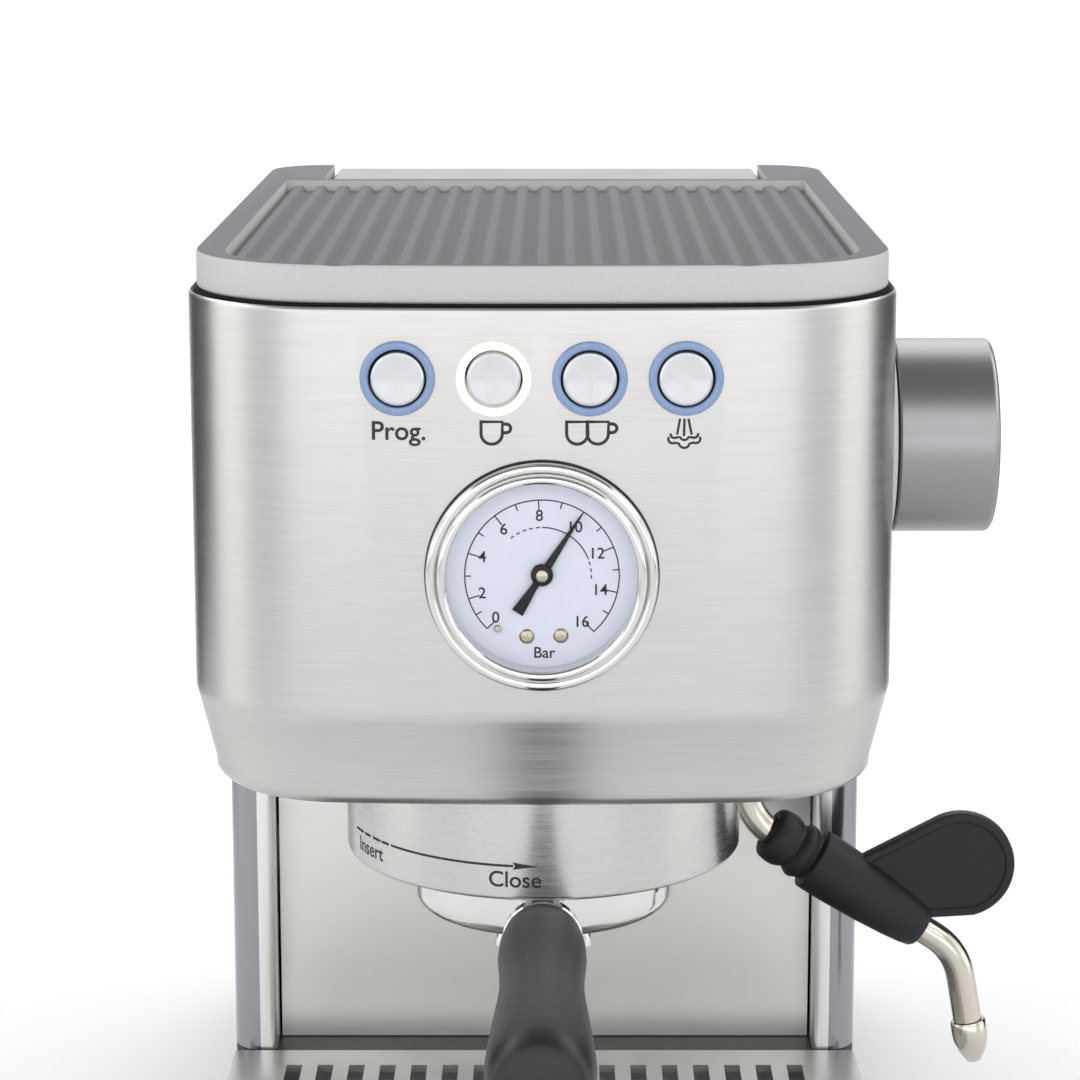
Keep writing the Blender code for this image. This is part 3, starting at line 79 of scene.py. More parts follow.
# Light: a pale room that is dimmer overhead, with a warm tall soft box and a raised one at each side, two
# wide ones in front, and one that washes the counter behind.
bpy.context.scene.view_settings.view_transform = "Standard"
SOFT_BOXES = (                      # place, aimed at, width, height, watts, colour
    ((-760, 40, 300), (-60, 60, 220), 400, 900, 0.8, (1.0, 0.97, 0.92)),
    ((760, 40, 300), (60, 60, 220), 400, 900, 0.8, (1.0, 0.97, 0.92)),
    ((-620, 150, 640), (-380, 100, 0), 900, 400, 1.9, (1, 1, 1)),
    ((620, 150, 640), (380, 100, 0), 900, 400, 1.9, (1, 1, 1)),
    ((0, -1500, 260), (0, 0, 200), 3000, 500, 4.9, (1, 1, 1)),
    ((0, -900, 800), (0, -250, 0), 2600, 500, 6, (1, 1, 1)),
    ((0, 1700, 1300), (0, 1700, 0), 3600, 2200, 44, (1, 1, 1)))
for i, (place, aim, wide, high, watts, tint) in enumerate(SOFT_BOXES):
    towards = at(*aim) - at(*place)
    facing = towards.to_track_quat("-Z", "Y").to_euler()
    bpy.ops.object.light_add(type="AREA", location=at(*place), rotation=facing)
    lamp = bpy.context.object
    lamp.name = f"soft_box_{i}"
    lamp.data.shape = "RECTANGLE"
    lamp.data.size = wide * MM
    lamp.data.size_y = high * MM
    lamp.data.energy = watts
    lamp.data.color = tint
room = bpy.data.worlds.new("pale_room")
bpy.context.scene.world = room
room.use_nodes = True
sky = room.node_tree
direction = sky.nodes.new("ShaderNodeTexCoord")
height = sky.nodes.new("ShaderNodeSeparateXYZ")
fade = sky.nodes.new("ShaderNodeMapRange")
for socket, value in (("From Min", 0.1), ("From Max", 0.6), ("To Min", 1.12), ("To Max", 0.26)):
    fade.inputs[socket].default_value = value
sky.links.new(direction.outputs["Generated"], height.inputs[0])
sky.links.new(height.outputs["Z"], fade.inputs["Value"])
sky.links.new(fade.outputs["Result"], sky.nodes["Background"].inputs["Strength"])
sky.nodes["Background"].inputs["Color"].default_value = (0.97, 0.98, 1.0, 1)


# Counter: a wide sheet of white laminate with the faintest mottling. It isn't part of the machine, which
# only stands on it.
COUNTER_SIZE = 4600


def colour(code):
    """An sRGB hex value as the linear colour that a socket takes."""
    parts = [int(code[i:i + 2], 16) / 255 for i in (1, 3, 5)]
    return (*[c / 12.92 if c <= 0.04045 else ((c + 0.055) / 1.055) ** 2.4 for c in parts], 1)


def finish(name, base, **even):
    """A material and its shader; even holds the shader's values that are the same all over."""
    made = bpy.data.materials.new(name)
    made.use_nodes = True
    shader = made.node_tree.nodes["Principled BSDF"]
    shader.inputs["Base Color"].default_value = colour(base)
    for socket, value in even.items():
        shader.inputs[socket.replace("_", " ")].default_value = value
    return made, shader


def node(made, kind, links, **settings):
    """Adds a node to a material with its settings; links gives each input a value or an output."""
    new = made.node_tree.nodes.new(kind)
    for name, value in settings.items():
        setattr(new, name, value)
    for socket, value in links.items():
        if isinstance(value, bpy.types.NodeSocket):
            made.node_tree.links.new(value, new.inputs[socket])
        else:
            new.inputs[socket].default_value = value
    return new


def grain(made, size, detail=2.0):
    """Noise whose blotches are size mm long in x, y and z, from 0 to 1."""
    place = node(made, "ShaderNodeTexCoord", {}).outputs["Object"]
    scaled = node(made, "ShaderNodeMapping", {"Vector": place, "Scale": [1 / (s * MM) for s in size]})
    return node(made, "ShaderNodeTexNoise", {"Vector": scaled.outputs["Vector"], "Scale": 1.0, "Detail": detail,
                                             "Roughness": 0.6}).outputs["Fac"]


def varied(made, shader, socket, noise, low, high):
    """Runs a shader value between low and high with the noise."""
    run = node(made, "ShaderNodeMapRange", {"Value": noise, "From Min": 0.25, "From Max": 0.75,
                                            "To Min": low, "To Max": high})
    made.node_tree.links.new(run.outputs["Result"], shader.inputs[socket])


def tinted(made, shader, noise, dark, light):
    """Runs the base colour between two hex values with the noise."""
    mix = node(made, "ShaderNodeMix", {0: noise, 6: colour(dark), 7: colour(light)}, data_type="RGBA")
    made.node_tree.links.new(mix.outputs[2], shader.inputs["Base Color"])


def embossed(made, shader, noise, depth, strength=1.0):
    """Bump of depth mm from the noise."""
    bump = node(made, "ShaderNodeBump", {"Height": noise, "Distance": depth * MM, "Strength": strength})
    made.node_tree.links.new(bump.outputs["Normal"], shader.inputs["Normal"])


laminate, shader = finish("white_laminate", "#fcfcfc", Roughness=0.7)
tinted(laminate, shader, grain(laminate, (60, 60, 60)), "#fafafa", "#fefefe")
bpy.ops.object.select_all(action="DESELECT")
bpy.ops.mesh.primitive_plane_add(size=COUNTER_SIZE * MM, location=(0, 0, 0))
counter = bpy.context.object
counter.name = "counter"
counter.data.materials.append(laminate)

# Cards: a dark navy card stands behind each shoulder and draws the dark band down each round corner.
# The steel reflects them, but the camera doesn't see them, so they hide nothing from any side.
CARD_WIDE = 1180
CARD_HIGH = 900
card_paint, shader = finish("navy_card", "#161a24", Roughness=0.8)
varied(card_paint, shader, "Roughness", grain(card_paint, (20, 20, 20)), 0.75, 0.85)
for side, x in (("left", -930), ("right", 930)):
    bpy.ops.mesh.primitive_plane_add(size=1, location=at(x, 560, 350), rotation=(math.pi / 2, 0, 0))
    flag = bpy.context.object
    flag.name = f"navy_card_{side}"
    flag.scale = (CARD_WIDE * MM, CARD_HIGH * MM, 1)
    bpy.ops.object.transform_apply(location=True, rotation=True, scale=True)
    flag.data.materials.append(card_paint)
    flag.visible_camera = False


# Feet: four pads of black rubber, moulded with a rounded tread that is dished underneath, and pushed into
# the base.
def drawn(name, *chains):
    """Lines through points, each made by extruding one vertex from point to point; all end selected."""
    bpy.ops.object.select_all(action="DESELECT")
    bpy.context.tool_settings.mesh_select_mode = (True, False, False)
    for i, chain in enumerate(chains):
        bpy.ops.mesh.primitive_plane_add(size=MM, location=(0, 0, 0))
        if i == 0:
            piece = bpy.context.object
            piece.name = piece.data.name = name
            bpy.ops.object.mode_set(mode="EDIT")
        bpy.ops.mesh.merge(type="CENTER")
        places = [at(*point) for point in chain]
        bpy.ops.transform.translate(value=places[0])
        for a, b in zip(places, places[1:]):
            bpy.ops.mesh.extrude_region_move(TRANSFORM_OT_translate={"value": b - a})
    bpy.ops.mesh.select_all(action="SELECT")
    return piece


def closed_up():
    """Merges doubles, turns the faces outwards and leaves edit mode."""
    bpy.ops.mesh.select_all(action="SELECT")
    bpy.ops.mesh.remove_doubles(threshold=0.004 * MM)
    bpy.ops.mesh.normals_make_consistent(inside=False)
    bpy.ops.object.mode_set(mode="OBJECT")


def turned(name, profile, centre, axis=(0, 0, 1), facets=96, ring=False):
    """A profile of (radius, distance along the axis) spun once round the axis; ring joins its two ends."""
    axis = Vector(axis).normalized()
    out = axis.orthogonal().normalized()
    ends = profile + profile[:1] if ring else profile
    piece = drawn(name, [Vector(centre) + out * r + axis * h for r, h in ends])
    bpy.ops.mesh.spin(steps=facets, angle=2 * math.pi, center=at(*centre), axis=axis)
    closed_up()
    return piece


def only(piece):
    """Leaves the piece alone selected, and active."""
    bpy.ops.object.select_all(action="DESELECT")
    piece.select_set(True)
    bpy.context.view_layer.objects.active = piece


def modified(piece, kind, **settings):
    """Adds a modifier to the piece and applies it."""
    modifier = piece.modifiers.new(kind.lower(), kind)
    for name, value in settings.items():
        setattr(modifier, name, value)
    only(piece)
    bpy.ops.object.modifier_apply(modifier=modifier.name)
    return piece


def fitted(piece, made, body, slot, *nodes):
    """Shades the piece, gives it its material, and fixes it to a body in place of CAD nodes."""
    only(piece)
    piece.data.materials.clear()
    piece.data.materials.append(made)
    bpy.ops.object.shade_smooth_by_angle(angle=math.radians(35))
    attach(piece, body)
    if nodes:
        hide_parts(*nodes)
    return piece


rubber_and_gap_shade, shader = finish("black_rubber_and_gap_shade", "#232425", Roughness=0.75)
varied(rubber_and_gap_shade, shader, "Roughness", grain(rubber_and_gap_shade, (1.5, 1.5, 1.5)), 0.68, 0.82)
embossed(rubber_and_gap_shade, shader, grain(rubber_and_gap_shade, (0.5, 0.5, 0.5)), 0.03)
for place in ("front_left", "front_right", "rear_left", "rear_right"):
    middle = spot(f"foot_{place}")
    pad = turned(f"rubber_foot_{place}",
                 [(0, 4.6), (9.4, 4.6), (10, 4.2), (11.9, 1.7), (11.9, 1.0), (11.3, 0.25), (10.6, 0), (8.4, 0),
                  (8.0, 0.5), (0, 0.5)], (middle.x, middle.y, 0), facets=48)
    fitted(pad, rubber_and_gap_shade, "housing", "black_rubber", f"foot_{place}")

# Column: two pressed stainless skins that are rolled round the front posts and the rear corners.
# Their satin face is rubbed upright, so the round posts show long soft bands.
HALF = (head_high.x - head_low.x) / 2 / MM
BACK = (head_high.y - FRONT) / MM
REAR_CORNER = 22
POST_CORNER = 10
side_low, side_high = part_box("column_side_right")
POST_FRONT = (side_low.y - FRONT) / MM
POST_WIDTH = 14
POST_RETURN = 15
RETURN_CORNER = 2
SKIN = 1.6
HIGHLIGHT_FROM = 8.8
HIGHLIGHT_DEPTH = 20
TANK_EDGE = 78


def arc(x, y, radius, start, end, steps):
    """Points round a circle from start to end degrees."""
    angles = [math.radians(start + (end - start) * i / steps) for i in range(steps + 1)]
    return [(x + radius * math.cos(a), y + radius * math.sin(a)) for a in angles]


satin, shader = finish("satin_rubbed_stainless", "#989a9f", Metallic=1.0, Roughness=0.22)
varied(satin, shader, "Roughness", grain(satin, (0.5, 0.5, 30)), 0.17, 0.26)
embossed(satin, shader, grain(satin, (0.4, 0.4, 40)), 0.004)
# painted highlight: a much paler copy of the same stainless, for the front strip of each post
edge, shader = finish("post_edge_painted_highlight", "#e6e5e2", Metallic=1.0, Roughness=0.35)
varied(edge, shader, "Roughness", grain(edge, (0.5, 0.5, 30)), 0.3, 0.4)
skin_path = [(HALF - POST_WIDTH, POST_FRONT + POST_RETURN)]
skin_path += arc(HALF - POST_WIDTH + RETURN_CORNER, POST_FRONT + RETURN_CORNER, RETURN_CORNER, 180, 270, 5)
skin_path += arc(HALF - POST_CORNER, POST_FRONT + POST_CORNER, POST_CORNER, -90, 0, 14)
skin_path += arc(HALF - REAR_CORNER, BACK - REAR_CORNER, REAR_CORNER, 0, 90, 14)
skin_path.append((TANK_EDGE, BACK))
for side, sign in (("left", -1), ("right", 1)):
    skin = drawn(f"column_skin_{side}", [(sign * x, y, side_low.z / MM) for x, y in skin_path])
    bpy.ops.mesh.extrude_region_move(TRANSFORM_OT_translate={"value": (0, 0, side_high.z - side_low.z)})
    bpy.ops.mesh.select_all(action="SELECT")
    bpy.ops.mesh.normals_make_consistent(inside=False)
    bpy.ops.object.mode_set(mode="OBJECT")
    if sum(f.normal.x * sign * f.area for f in skin.data.polygons) < 0:
        skin.data.flip_normals()
    modified(skin, "SOLIDIFY", thickness=SKIN * MM, offset=-1)
    fitted(skin, satin, "housing", "satin_column", f"column_side_{side}")
    skin.data.materials.append(edge)
    # painted highlight: faces of the front strip, inward of the round post and near its front, take the paler copy
    for face in skin.data.polygons:
        inward = abs(face.center.x - MIDDLE) < (HALF - HIGHLIGHT_FROM) * MM
        if inward and face.center.y < at(0, POST_FRONT + HIGHLIGHT_DEPTH, 0).y:
            face.material_index = 1

# Head: one sheet of stainless wrapped round the front and sides, its lower edge drawn in and rolled.
# It is brushed level all the way round, which spreads each highlight into a tall soft band.
FRONT_CORNER = 45
BOW = 2.0
BOW_RADIUS = ((HALF - FRONT_CORNER) ** 2 + BOW ** 2) / (2 * BOW)
CORNER_Y = BOW_RADIUS - math.sqrt((BOW_RADIUS - FRONT_CORNER) ** 2 - (HALF - FRONT_CORNER) ** 2)
LEAN = math.asin((HALF - FRONT_CORNER) / (BOW_RADIUS - FRONT_CORNER))
HEAD_TOP = head_high.z / MM
SKIRT_LOW = head_low.z / MM
CREASE = SKIRT_LOW + 27
SHEET = 1.2
BUTTONS = ("program", "one_cup", "two_cups", "steam")
BUTTON_HOLE_R = 9.6
GAUGE_HOLE_R = 28.2
SHAFT_HOLE_R = 6
ROCKER_GAP = 0.8
OUT = (0, -1, 0)
RIGHT = (1, 0, 0)


def face_y(x):
    """How far the bowed front lies behind its foremost line at x."""
    return BOW_RADIUS - math.sqrt(BOW_RADIUS ** 2 - x * x)


def cut_by(piece, *cutters):
    """Takes the cutters' shapes out of the piece, and the cutters away."""
    for cutter in cutters:
        modified(piece, "BOOLEAN", object=cutter, operation="DIFFERENCE", solver="EXACT")
        bpy.data.objects.remove(cutter, do_unlink=True)
    return piece


def drilled(piece, radius, place, axis, facets):
    """Bores a round hole through a sheet at a place, along an axis."""
    return cut_by(piece, turned("drill", [(0, -8), (radius, -8), (radius, 8), (0, 8)], place, axis, facets))


wrap_profile = [(0.7, HEAD_TOP), (0.3, HEAD_TOP - 0.3), (0.05, HEAD_TOP - 0.9), (0, HEAD_TOP - 1.6),
                (0, CREASE + 3), (0.08, CREASE + 0.4), (0.35, CREASE - 1), (0.75, CREASE - 2.4),
                (5.5, SKIRT_LOW + 5.5)]
wrap_profile += arc(11, SKIRT_LOW + 6, 6, 195, 270, 8)[1:]
wrap = drawn("head_wrap", [(0, inset, z) for inset, z in wrap_profile])
bpy.ops.mesh.spin(steps=8, angle=LEAN, center=at(0, BOW_RADIUS, 0), axis=(0, 0, -1))
bpy.ops.mesh.spin(steps=20, angle=math.pi / 2 - LEAN, center=at(HALF - FRONT_CORNER, CORNER_Y, 0), axis=(0, 0, -1))
for start, end in ((CORNER_Y, POST_FRONT - 0.5), (POST_FRONT - 0.5, BACK - REAR_CORNER)):
    bpy.ops.mesh.extrude_region_move(TRANSFORM_OT_translate={"value": (0, (end - start) * MM, 0)})
bpy.ops.mesh.spin(steps=12, angle=math.pi / 2, center=at(HALF - REAR_CORNER, BACK - REAR_CORNER, 0), axis=(0, 0, -1))
bpy.ops.mesh.extrude_region_move(TRANSFORM_OT_translate={"value": ((TANK_EDGE + REAR_CORNER - HALF) * MM, 0, 0)})
bpy.ops.object.mode_set(mode="OBJECT")
bpy.context.tool_settings.mesh_select_mode = (False, False, True)
cut = at(0, POST_FRONT, CREASE + 0.4)
for face in wrap.data.polygons:
    face.select = face.center.y > cut.y and face.center.z < cut.z
bpy.ops.object.mode_set(mode="EDIT")
bpy.ops.mesh.delete(type="FACE")
bpy.ops.mesh.select_all(action="SELECT")
bpy.ops.mesh.duplicate()
bpy.ops.transform.resize(value=(-1, 1, 1), center_override=at(0, 0, 0))
closed_up()
front_face = min(wrap.data.polygons, key=lambda f: f.center.y)
if front_face.normal.y > 0:
    wrap.data.flip_normals()
modified(wrap, "SOLIDIFY", thickness=SHEET * MM, offset=-1)
steel, shader = finish("level_brushed_stainless", "#cdccca", Metallic=1.0, Roughness=0.32, Anisotropic=0.35,
                       Anisotropic_Rotation=0.25)
lines = grain(steel, (30, 30, 0.35), 3.0)
varied(steel, shader, "Roughness", lines, 0.28, 0.4)
tinted(steel, shader, grain(steel, (22, 22, 0.5), 3.0), "#b9b8b6", "#cfcecb")
embossed(steel, shader, lines, 0.006)
for word in BUTTONS:
    hole = spot(f"button_{word}")
    drilled(wrap, BUTTON_HOLE_R, (hole.x, 0, hole.z), OUT, 64)
drilled(wrap, GAUGE_HOLE_R, (0, 0, spot("gauge_bezel").z), OUT, 96)
hole = spot("knob_shaft")
drilled(wrap, SHAFT_HOLE_R, (HALF, hole.y, hole.z), RIGHT, 32)
low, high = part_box("power_switch")
bpy.ops.object.select_all(action="DESELECT")
bpy.ops.mesh.primitive_cube_add(size=1, location=(low + high) / 2,
                                scale=(30 * MM, high.y - low.y + ROCKER_GAP * MM,
                                       high.z - low.z + ROCKER_GAP * MM))
cut_by(wrap, bpy.context.object)
fitted(wrap, steel, "housing", "brushed_steel", "head_shell")

# Lid frame: injection moulded ABS with aluminium flake in it, a satin, faintly speckled grey. Its upper
# side takes the cup warmer's darker matt grey as painted shade. Its pocket holds the ribbed plate, and its rear
# opening lets the water tank through.
lid_low, lid_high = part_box("top_frame")
LID_TOP = lid_high.z / MM
LID_LOW = lid_low.z / MM
LID_INSET = 2.4
WARMER_FRONT = 4.5
WARMER_CORNER = 36
WARMER_HALF = HALF - LID_INSET - 9
POCKET = 5.5
BAY_HALF = 77
TANK_FRONT = (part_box("water_tank")[0].y - FRONT) / MM
WARMER_BACK = TANK_FRONT - 6


def mirrored(half):
    """A whole outline from its right half, which runs from front to back."""
    return half + [(-x, y) for x, y in reversed(half) if x > 0.001]


def plan(inset, back):
    """The head's plan drawn in by inset and cut straight at back."""
    lean = math.degrees(LEAN)
    half = arc(0, BOW_RADIUS, BOW_RADIUS - inset, -90, lean - 90, 6)[:-1]
    half += arc(HALF - FRONT_CORNER, CORNER_Y, FRONT_CORNER - inset, lean - 90, 0, 20)
    if back > BACK - REAR_CORNER:
        half += arc(HALF - REAR_CORNER, BACK - REAR_CORNER, REAR_CORNER - inset, 0, 90, 12)
        half.append((0, BACK - inset))
    else:
        half += [(HALF - inset, back), (0, back)]
    return mirrored(half)


def warmer_plan(inset):
    """The ribbed plate's plan drawn in by inset: round front corners and a straight back."""
    half = [(0, WARMER_FRONT + inset)]
    half += arc(WARMER_HALF - WARMER_CORNER, WARMER_FRONT + WARMER_CORNER, WARMER_CORNER - inset, -90, 0, 20)
    half += [(WARMER_HALF - inset, WARMER_BACK - inset), (0, WARMER_BACK - inset)]
    return mirrored(half)


def slab(name, outline, low, high):
    """A flat outline, filled and extruded upwards."""
    piece = drawn(name, [(x, y, low) for x, y in outline])
    bpy.ops.mesh.edge_face_add()
    bpy.ops.mesh.extrude_region_move(TRANSFORM_OT_translate={"value": (0, 0, (high - low) * MM)})
    closed_up()
    return piece


def bay(half, gap, low, high):
    """A cutter for the tank's opening, half wide each way and gap clear of the tank's front."""
    return slab("bay", [(-half, TANK_FRONT - gap), (half, TANK_FRONT - gap), (half, BACK + 5), (-half, BACK + 5)],
                low, high)


def softened(piece, radius, steps=3, angle=35):
    """Rounds every edge sharper than angle."""
    return modified(piece, "BEVEL", width=radius * MM, segments=steps, limit_method="ANGLE",
                    angle_limit=math.radians(angle), harden_normals=False)


paint, shader = finish("matt_grey_paint", "#7a7b7e", Roughness=0.75, Specular_IOR_Level=0.2)
varied(paint, shader, "Roughness", grain(paint, (1, 1, 1)), 0.68, 0.82)
embossed(paint, shader, grain(paint, (0.35, 0.35, 0.35)), 0.015)
flake, shader = finish("flake_grey_abs", "#bebebf", Metallic=0.2, Roughness=0.65, Specular_IOR_Level=0.25)
speckle = grain(flake, (0.45, 0.45, 0.45), 4.0)
tinted(flake, shader, speckle, "#b0b0b1", "#cccccc")
varied(flake, shader, "Roughness", speckle, 0.7, 0.58)
embossed(flake, shader, speckle, 0.01)
lid = slab("lid_frame", plan(LID_INSET, BACK), LID_LOW, LID_TOP)
softened(lid, 1.2, 4, 60)
cut_by(lid, slab("pocket", warmer_plan(0), LID_TOP - POCKET, LID_TOP + 5),
       bay(BAY_HALF, 1, LID_LOW - 5, LID_TOP + 5))
softened(lid, 0.7, 2, 60)
fitted(lid, flake, "housing", "metallic_plastic", "top_frame")
lid.data.materials.append(paint)
# painted shade: every upward face of the lid takes the darker matt grey, so its top reads darker than its flake-grey
# front
for face in lid.data.polygons:
    if face.normal.z > 0.6:
        face.material_index = 1

# Lid gap: a near-black strip in the gap between the lid and the steel, painted shade that shows as a thin dark
# line. It is cut to the head's plan, with the tank's opening left out.
gap_shade, shader = finish("gap_shade_black", "#0c0c0d", Roughness=0.95)
embossed(gap_shade, shader, grain(gap_shade, (0.4, 0.4, 0.4)), 0.1)
# painted shade: this near-black strip stands for the shadow in the gap under the lid
gap_strip = slab("lid_gap_shade", plan(3.2, BACK), HEAD_TOP - 0.9, LID_LOW + 0.4)
cut_by(gap_strip, bay(BAY_HALF + 1.5, 2, HEAD_TOP - 5, LID_LOW + 5))
fitted(gap_strip, gap_shade, "housing", "black_rubber")

# Cup warmer: a die-cast aluminium plate in matt grey paint, ribbed from front to back and laid in the
# lid's pocket.
RIB_PITCH = 7.75
RIB_TOP = LID_TOP - 2
RIB_FOOT = RIB_TOP - 1.8
PLATE = 1.4
rib_count = int(2 * WARMER_HALF / RIB_PITCH)
comb = [(-WARMER_HALF, RIB_FOOT - PLATE), (WARMER_HALF, RIB_FOOT - PLATE), (WARMER_HALF, RIB_FOOT)]
for i in reversed(range(rib_count)):
    x = (i - (rib_count - 1) / 2) * RIB_PITCH
    comb += [(x + 2.9, RIB_FOOT), (x + 2.3, RIB_FOOT + 0.35), (x + 1.7, RIB_TOP - 0.4), (x + 1.2, RIB_TOP),
             (x - 1.2, RIB_TOP), (x - 1.7, RIB_TOP - 0.4), (x - 2.3, RIB_FOOT + 0.35), (x - 2.9, RIB_FOOT)]
comb.append((-WARMER_HALF, RIB_FOOT))
ribs = drawn("ribbed_warmer_plate", [(x, WARMER_FRONT - 5, z) for x, z in comb])
bpy.ops.mesh.edge_face_add()
bpy.ops.mesh.extrude_region_move(TRANSFORM_OT_translate={"value": (0, (WARMER_BACK - WARMER_FRONT + 10) * MM, 0)})
closed_up()
trim = slab("trim", warmer_plan(0.4), LID_LOW, LID_TOP + 5)
modified(ribs, "BOOLEAN", object=trim, operation="INTERSECT", solver="EXACT")
bpy.data.objects.remove(trim, do_unlink=True)
fitted(ribs, paint, "housing", "warmer_plate", "cup_warmer_plate")

# Ring lights: turned rings of blue acrylic with a clear face, pressed into the steel so that they stand a
# little proud; the second one is lit.
acrylic, shader = finish("blue_acrylic", "#788fb8", Roughness=0.22, Coat_Weight=0.6)
tinted(acrylic, shader, grain(acrylic, (3, 3, 3)), "#6f86ad", "#7e96be")
lit, shader = finish("lit_acrylic", "#f1f4e6", Roughness=0.3, Emission_Strength=0.35)
shader.inputs["Emission Color"].default_value = colour("#f7fae8")
tinted(lit, shader, grain(lit, (2, 2, 2)), "#eef1e2", "#f6f8ee")
CAP_R = 7.35
ring_profile = [(10.3, 0.05), (10.3, 0.75), (10.12, 1.15), (9.7, 1.4), (9.0, 1.5), (8.4, 1.4), (8.05, 1.15),
                (7.95, 0.7), (7.9, -4), (9.4, -4), (9.4, 0.05)]


def outward(x):
    """The direction that the bowed front faces at x."""
    return Vector((x, face_y(x) - BOW_RADIUS, 0)).normalized()


for word in BUTTONS:
    middle = spot(f"ring_{word}")
    here = (middle.x, face_y(middle.x), middle.z)
    ring = turned(f"ring_light_{word}", ring_profile, here, outward(middle.x), 64, ring=True)
    glow = lit if word == "one_cup" else acrylic
    fitted(ring, glow, "housing", "ring_lit" if word == "one_cup" else "ring_blue", f"ring_{word}")

# Button caps: aluminium, faced on a lathe, so the fine rings in them throw two bright fans of light. Each
# slides in its ring.
spun, shader = finish("faced_aluminium", "#c4c5c8", Metallic=1.0, Roughness=0.3, Anisotropic=0.85)
pitch = (spot("button_two_cups").x - spot("button_one_cup").x) * MM
place = node(spun, "ShaderNodeTexCoord", {}).outputs["Object"]
place = node(spun, "ShaderNodeSeparateXYZ", {0: place})
across = node(spun, "ShaderNodeMath", {0: place.outputs["X"], 1: pitch / 2 - MIDDLE}, operation="ADD")
across = node(spun, "ShaderNodeMath", {0: across.outputs[0], 1: pitch / 2, 2: -pitch / 2}, operation="WRAP")
up = node(spun, "ShaderNodeMath", {0: place.outputs["Z"], 1: spot("button_one_cup").z * MM}, operation="SUBTRACT")
radial = node(spun, "ShaderNodeCombineXYZ", {"X": across.outputs[0], "Z": up.outputs[0]})
spun.node_tree.links.new(radial.outputs[0], shader.inputs["Tangent"])
varied(spun, shader, "Roughness", grain(spun, (0.6, 0.6, 0.6)), 0.26, 0.34)
cap_profile = [(0, 1.65), (4.2, 1.7), (6.5, 1.85), (7.0, 1.85), (7.25, 1.7), (CAP_R, 1.4), (CAP_R, -5), (0, -5)]
for word in BUTTONS:
    middle = spot(f"button_{word}")
    here = (middle.x, face_y(middle.x), middle.z)
    cap = turned(f"button_cap_{word}", cap_profile, here, outward(middle.x), 64)
    fitted(cap, spun, f"button_{word}", "spun_aluminium", f"button_{word}")

# Printing on the head: black ink screened on to the steel, a word or a sign under each button, drawn as
# raised lines so that it shows as a shape.
ink, shader = finish("black_screen_ink", "#1d1e20", Roughness=0.5)
varied(ink, shader, "Roughness", grain(ink, (0.5, 0.5, 0.5)), 0.42, 0.6)


CROWN = 0.36                        # how deep a line of ink is sunk, as a share of its width


def piped(piece, radius, rounding):
    """Makes drawn lines into round bars with closed ends, and leaves edit mode."""
    bpy.ops.object.mode_set(mode="OBJECT")
    only(piece)
    bpy.ops.object.convert(target="CURVE")
    piece = bpy.context.object
    piece.data.bevel_depth = radius * MM
    piece.data.bevel_resolution = rounding
    piece.data.use_fill_caps = True
    bpy.ops.object.convert(target="MESH")
    return bpy.context.object


def inked(name, width, *chains):
    """Lines of ink along chains of points, each a round bead to be sunk until only its crown shows."""
    return piped(drawn(name, *chains), width / 2, 2)


def lettered(name, word, height, place, turn=0.0, thick=0.08, weight=0.012):
    """A word in ink, centred on a place and facing the front, turned about the upright."""
    bpy.ops.object.select_all(action="DESELECT")
    bpy.ops.object.text_add(location=(0, 0, 0))
    piece = bpy.context.object
    piece.name = name
    piece.data.body = word
    piece.data.align_x = "CENTER"
    piece.data.align_y = "CENTER"
    piece.data.size = height * MM
    piece.data.offset = weight * height * MM
    piece.data.extrude = thick / 2 * MM
    bpy.ops.object.convert(target="MESH")
    piece = bpy.context.object
    piece.data.name = name
    piece.rotation_euler = (math.pi / 2, 0, turn)
    piece.location = at(*place)
    bpy.ops.object.transform_apply(location=True, rotation=True, scale=True)
    return piece


def on_face(x, z, sink):
    """A point of the front at x and z, sunk below its surface."""
    return (x, face_y(x) + sink, z)


LABEL_DROP = 14.8
STROKE = 1.3
FINE_STROKE = 1.0
CUP_R = 2.9
middle = spot("button_program")
word = lettered("label_program", "Prog.", 7.3, (middle.x, face_y(middle.x) - 0.02, middle.z - LABEL_DROP),
                math.asin(middle.x / BOW_RADIUS), thick=0.16, weight=0.014)
fitted(word, ink, "housing", "pointer_black")


def cup(x, z, handle):
    """The lines of a cup seen from the side: a deep bowl, and a small handle at its right."""
    bowl = [(x - CUP_R, z + CUP_R), (x - CUP_R, z - 0.4)] + arc(x, z - 0.4, CUP_R, 180, 360, 12)[1:]
    bowl += [(x + CUP_R, z + CUP_R), (x - 3.3, z + CUP_R)]
    loop = [(x + CUP_R, z + 2.3), (x + 4.0, z + 2.3)] + arc(x + 4.0, z + 1.1, 1.2, 90, -90, 8)[1:]
    loop.append((x + CUP_R, z - 0.1))
    return [bowl, loop] if handle else [bowl]


